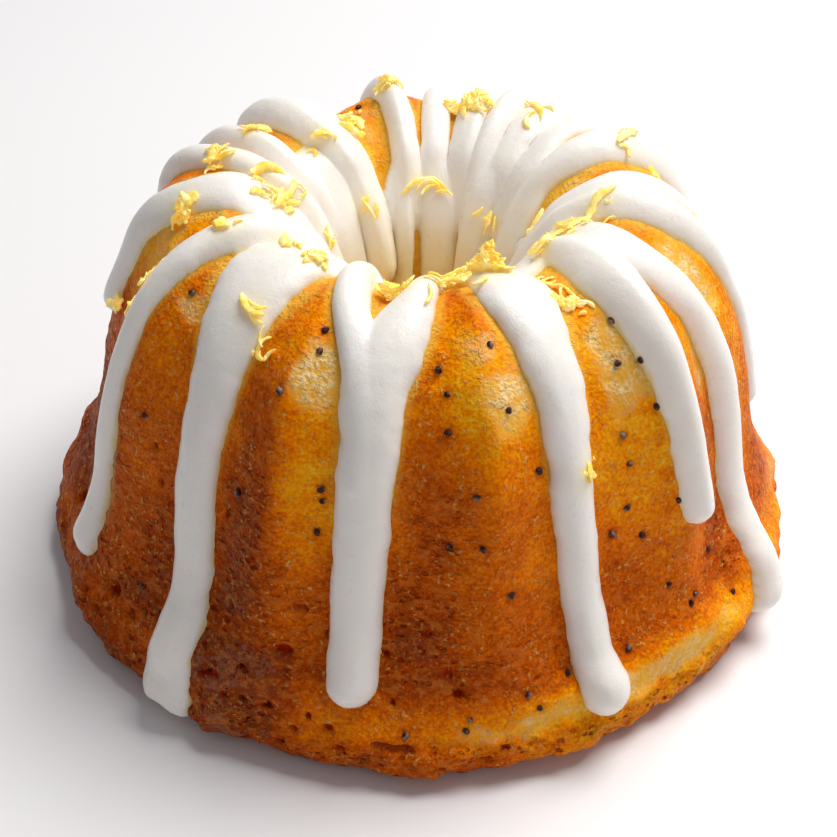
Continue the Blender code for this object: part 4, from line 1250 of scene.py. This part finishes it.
# %% [markdown]
# Now the icing can be finished, because its lemon stains lie by the strips of zest.

# %% The icing
THIN_BELOW, THIN_IN_HOLE, THIN_ARCS = 0.7, 1.1, (-8.0, -30.0)
STAIN_REACH, STAIN_BY_WIDTH, STAIN_STRENGTH = 2.2, 0.4, 0.5


def icing_piece():
    """The icing: its shell, with how thin it is and how stained. It is thin at its hems and
    towards the bottom of the hole, and a stain is a bell round the middle of a strip, deeper
    for a wide one."""
    azimuth = np.arange(ICING_COLUMNS)[None, :] * 360.0 / ICING_COLUMNS
    arc = uneven_steps(ICING_CLOSENESS, ICING_ROWS)[:, None]
    azimuth, arc = np.broadcast_arrays(azimuth, arc)
    height, front = spread_icing(azimuth, arc)
    back = crust_point(azimuth, arc, -BACK_DEPTH)
    back[..., 2] = np.maximum(back[..., 2], 2 * FLOOR_CLEARANCE)
    thin = np.maximum(ramp(height, THIN_BELOW, 0.0), THIN_IN_HOLE * ramp(arc, *THIN_ARCS))
    lemon = np.zeros_like(height)
    for middle, along, _, _, width, _ in ZEST:
        away = spot_distance(azimuth, arc, middle, along)
        stain = min(1.0, STAIN_BY_WIDTH * width) * np.exp(-(away / STAIN_REACH) ** 2)
        lemon = np.maximum(lemon, stain)
    values = {"thin": np.tile(thin.ravel(), 2),
              "lemon": np.tile(lemon.ravel() * STAIN_STRENGTH, 2)}
    points, faces = shell(iced_blocks(height), front, back)
    points, faces, values = drop_unused(points, faces, values)
    piece("icing", points, faces, icing_material(), "icing", **values)


icing_piece()

# %% [markdown]
# ## Poppy seeds
# A poppy seed is a kidney about a millimetre long, slate blue to brown, with a net of fine
# ridges. Ten facets round are enough at this size; the net is left to the bump. Each seed is
# one small grid, bent, turned at random and pressed half into the crust.

# %% The seeds
SEED_LENGTH, SEED_SIZES = 0.96, (0.8, 1.12)
SEED_WIDE, SEED_HIGH, SEED_BEND = 0.82, 0.74, 0.16
SEED_ROUND, SEED_ALONG, POLE_GAP = 10, 7, 0.02
SEED_SINK, SEED_NUDGE = 0.05, 0.5


def seed_surface(places):
    """Points of every seed: a ball stretched along one axis, its side hollowed by a cosine
    to a kidney, turned about the crust's normal and laid along the crust."""
    rng = np.random.default_rng(DRAW_TURNS)
    count = len(places)
    theta = np.linspace(POLE_GAP, np.pi - POLE_GAP, SEED_ALONG)[:, None]
    phi = np.arange(SEED_ROUND)[None, :] * 2 * np.pi / SEED_ROUND
    long = np.cos(theta)
    wide = SEED_WIDE * np.sin(theta) * np.cos(phi) + SEED_BEND * (np.cos(theta) ** 2 - 0.5)
    high = SEED_HIGH * np.sin(theta) * np.sin(phi)
    size = SEED_LENGTH / 2 * rng.uniform(*SEED_SIZES, (count, 1, 1))
    turn = rng.uniform(0, 2 * np.pi, (count, 1, 1))
    side = size * (long * np.cos(turn) - wide * np.sin(turn))
    down = size * (long * np.sin(turn) + wide * np.cos(turn))
    up = size * high
    middle = crust_point(places[:, 0], places[:, 1])
    right = crust_point(places[:, 0] + SEED_NUDGE, places[:, 1]) - middle
    below = crust_point(places[:, 0], places[:, 1] + SEED_NUDGE) - middle
    right /= np.linalg.norm(right, axis=1, keepdims=True)
    normal = np.cross(below, right)
    normal /= np.linalg.norm(normal, axis=1, keepdims=True)
    below = np.cross(right, normal)
    axes = [axis[:, None, None, :] for axis in (right, below, normal)]
    start = middle[:, None, None, :] - SEED_SINK * axes[2]
    return start + side[..., None] * axes[0] + down[..., None] * axes[1] + up[..., None] * axes[2]


# %% The seeds' material, and the seeds
SEED_COLOURS = ((0.36, srgb(30, 9, 8)), (0.52, srgb(76, 36, 26)), (0.64, srgb(136, 118, 108)))
SEED_BLUSH, SEED_NET = 0.9, 0.22


def seed_material():
    """Poppy seed: near black to slate, with a net of ridges between cells, and little
    gloss."""
    material, tree, shader = new_material("poppy_seed")
    place = object_place(tree)
    blush = noise(tree, place, SEED_BLUSH)
    feed(tree, shader, {
        "Base Color": stops(tree, blush, SEED_COLOURS),
        "Roughness": 0.4,
        "Specular IOR Level": 0.25,
        "Normal": bumps(tree, cells(tree, place, SEED_NET), 0.8, 0.1),
    })
    return material


seed_faces = tube_faces(len(SEEDS), SEED_ALONG, SEED_ROUND)
piece("poppy_seeds", seed_surface(SEEDS), seed_faces, seed_material(), "seeds")

# %% [markdown]
# ## Floor, light and camera
# The floor is plain and pale. A large soft light hangs above the cake, behind it and to the
# right, and a weak one stands in front on the right; between them each ridge gets a bright
# flank and a dark one, and the pale world fills the shadows. The camera looks down at 38
# degrees from about 20 centimetres, so the near wall looks larger than the far one.

# %% Stage
# Lengths of the stage are in metres.
FLOOR_SIZE = 3.0
FLOOR_COLOUR = srgb(242, 241, 243)
LIGHTS = (
    # name, azimuth, elevation, distance, width, power in watts, colour
    ("overhead", 124.0, 63.0, 0.70, 0.45, 5.6, (1.0, 0.98, 0.95)),
    ("front_right", 48.0, 22.0, 0.80, 0.35, 0.30, (1.0, 0.96, 0.90)),
)
WORLD_COLOUR, WORLD_STRENGTH = (0.96, 0.96, 1.0, 1.0), 0.25
AIM = (0.0, 0.0, 0.017)
CAMERA_ELEVATION, CAMERA_DISTANCE = 38.0, 0.215
FOCAL_PIXELS, FRAME_PIXELS, SENSOR_WIDTH = 1600.0, 837.0, 36.0
NEAREST, FARTHEST = 0.01, 10.0


def direction(azimuth, elevation):
    """Unit vector from the middle towards this azimuth and elevation, in degrees."""
    a, e = math.radians(azimuth), math.radians(elevation)
    return Vector((math.sin(a) * math.cos(e), -math.cos(a) * math.cos(e), math.sin(e)))


def place_looking(data, azimuth, elevation, distance):
    """Object that holds this light or camera, set back along the direction and turned to
    face the middle of the cake."""
    made = bpy.data.objects.new(data.name, data)
    bpy.context.scene.collection.objects.link(made)
    back = direction(azimuth, elevation)
    made.location = Vector(AIM) + back * distance
    made.rotation_euler = (-back).to_track_quat('-Z', 'Y').to_euler()
    return made


half_floor = FLOOR_SIZE / 2
floor_mesh = bpy.data.meshes.new("floor")
floor_mesh.from_pydata([(-half_floor, -half_floor, 0), (half_floor, -half_floor, 0),
                        (half_floor, half_floor, 0), (-half_floor, half_floor, 0)], [],
                       [(0, 1, 2, 3)])
floor_material, floor_tree, floor_shader = new_material("pale_floor")
feed(floor_tree, floor_shader, {"Base Color": FLOOR_COLOUR, "Roughness": 0.45})
floor_mesh.materials.append(floor_material)
floor = bpy.data.objects.new("floor", floor_mesh)
bpy.context.scene.collection.objects.link(floor)

for name, azimuth, elevation, distance, width, power, colour in LIGHTS:
    lamp = bpy.data.lights.new(name, 'AREA')
    lamp.shape = 'DISK'
    lamp.size = width
    lamp.energy = power
    lamp.color = colour
    place_looking(lamp, azimuth, elevation, distance)

world = bpy.data.worlds.new("pale_room")
world.use_nodes = True
feed(world.node_tree, world.node_tree.nodes["Background"],
     {"Color": WORLD_COLOUR, "Strength": WORLD_STRENGTH})
bpy.context.scene.world = world
bpy.context.scene.view_settings.view_transform = 'Standard'

camera_data = bpy.data.cameras.new("camera")
camera_data.sensor_width = SENSOR_WIDTH
camera_data.lens = FOCAL_PIXELS / FRAME_PIXELS * SENSOR_WIDTH
camera_data.clip_start, camera_data.clip_end = NEAREST, FARTHEST
bpy.context.scene.camera = place_looking(camera_data, 0.0, CAMERA_ELEVATION, CAMERA_DISTANCE)
print(f"lens {camera_data.lens:.1f} mm, {CAMERA_DISTANCE / MM:.0f} mm from the cake")
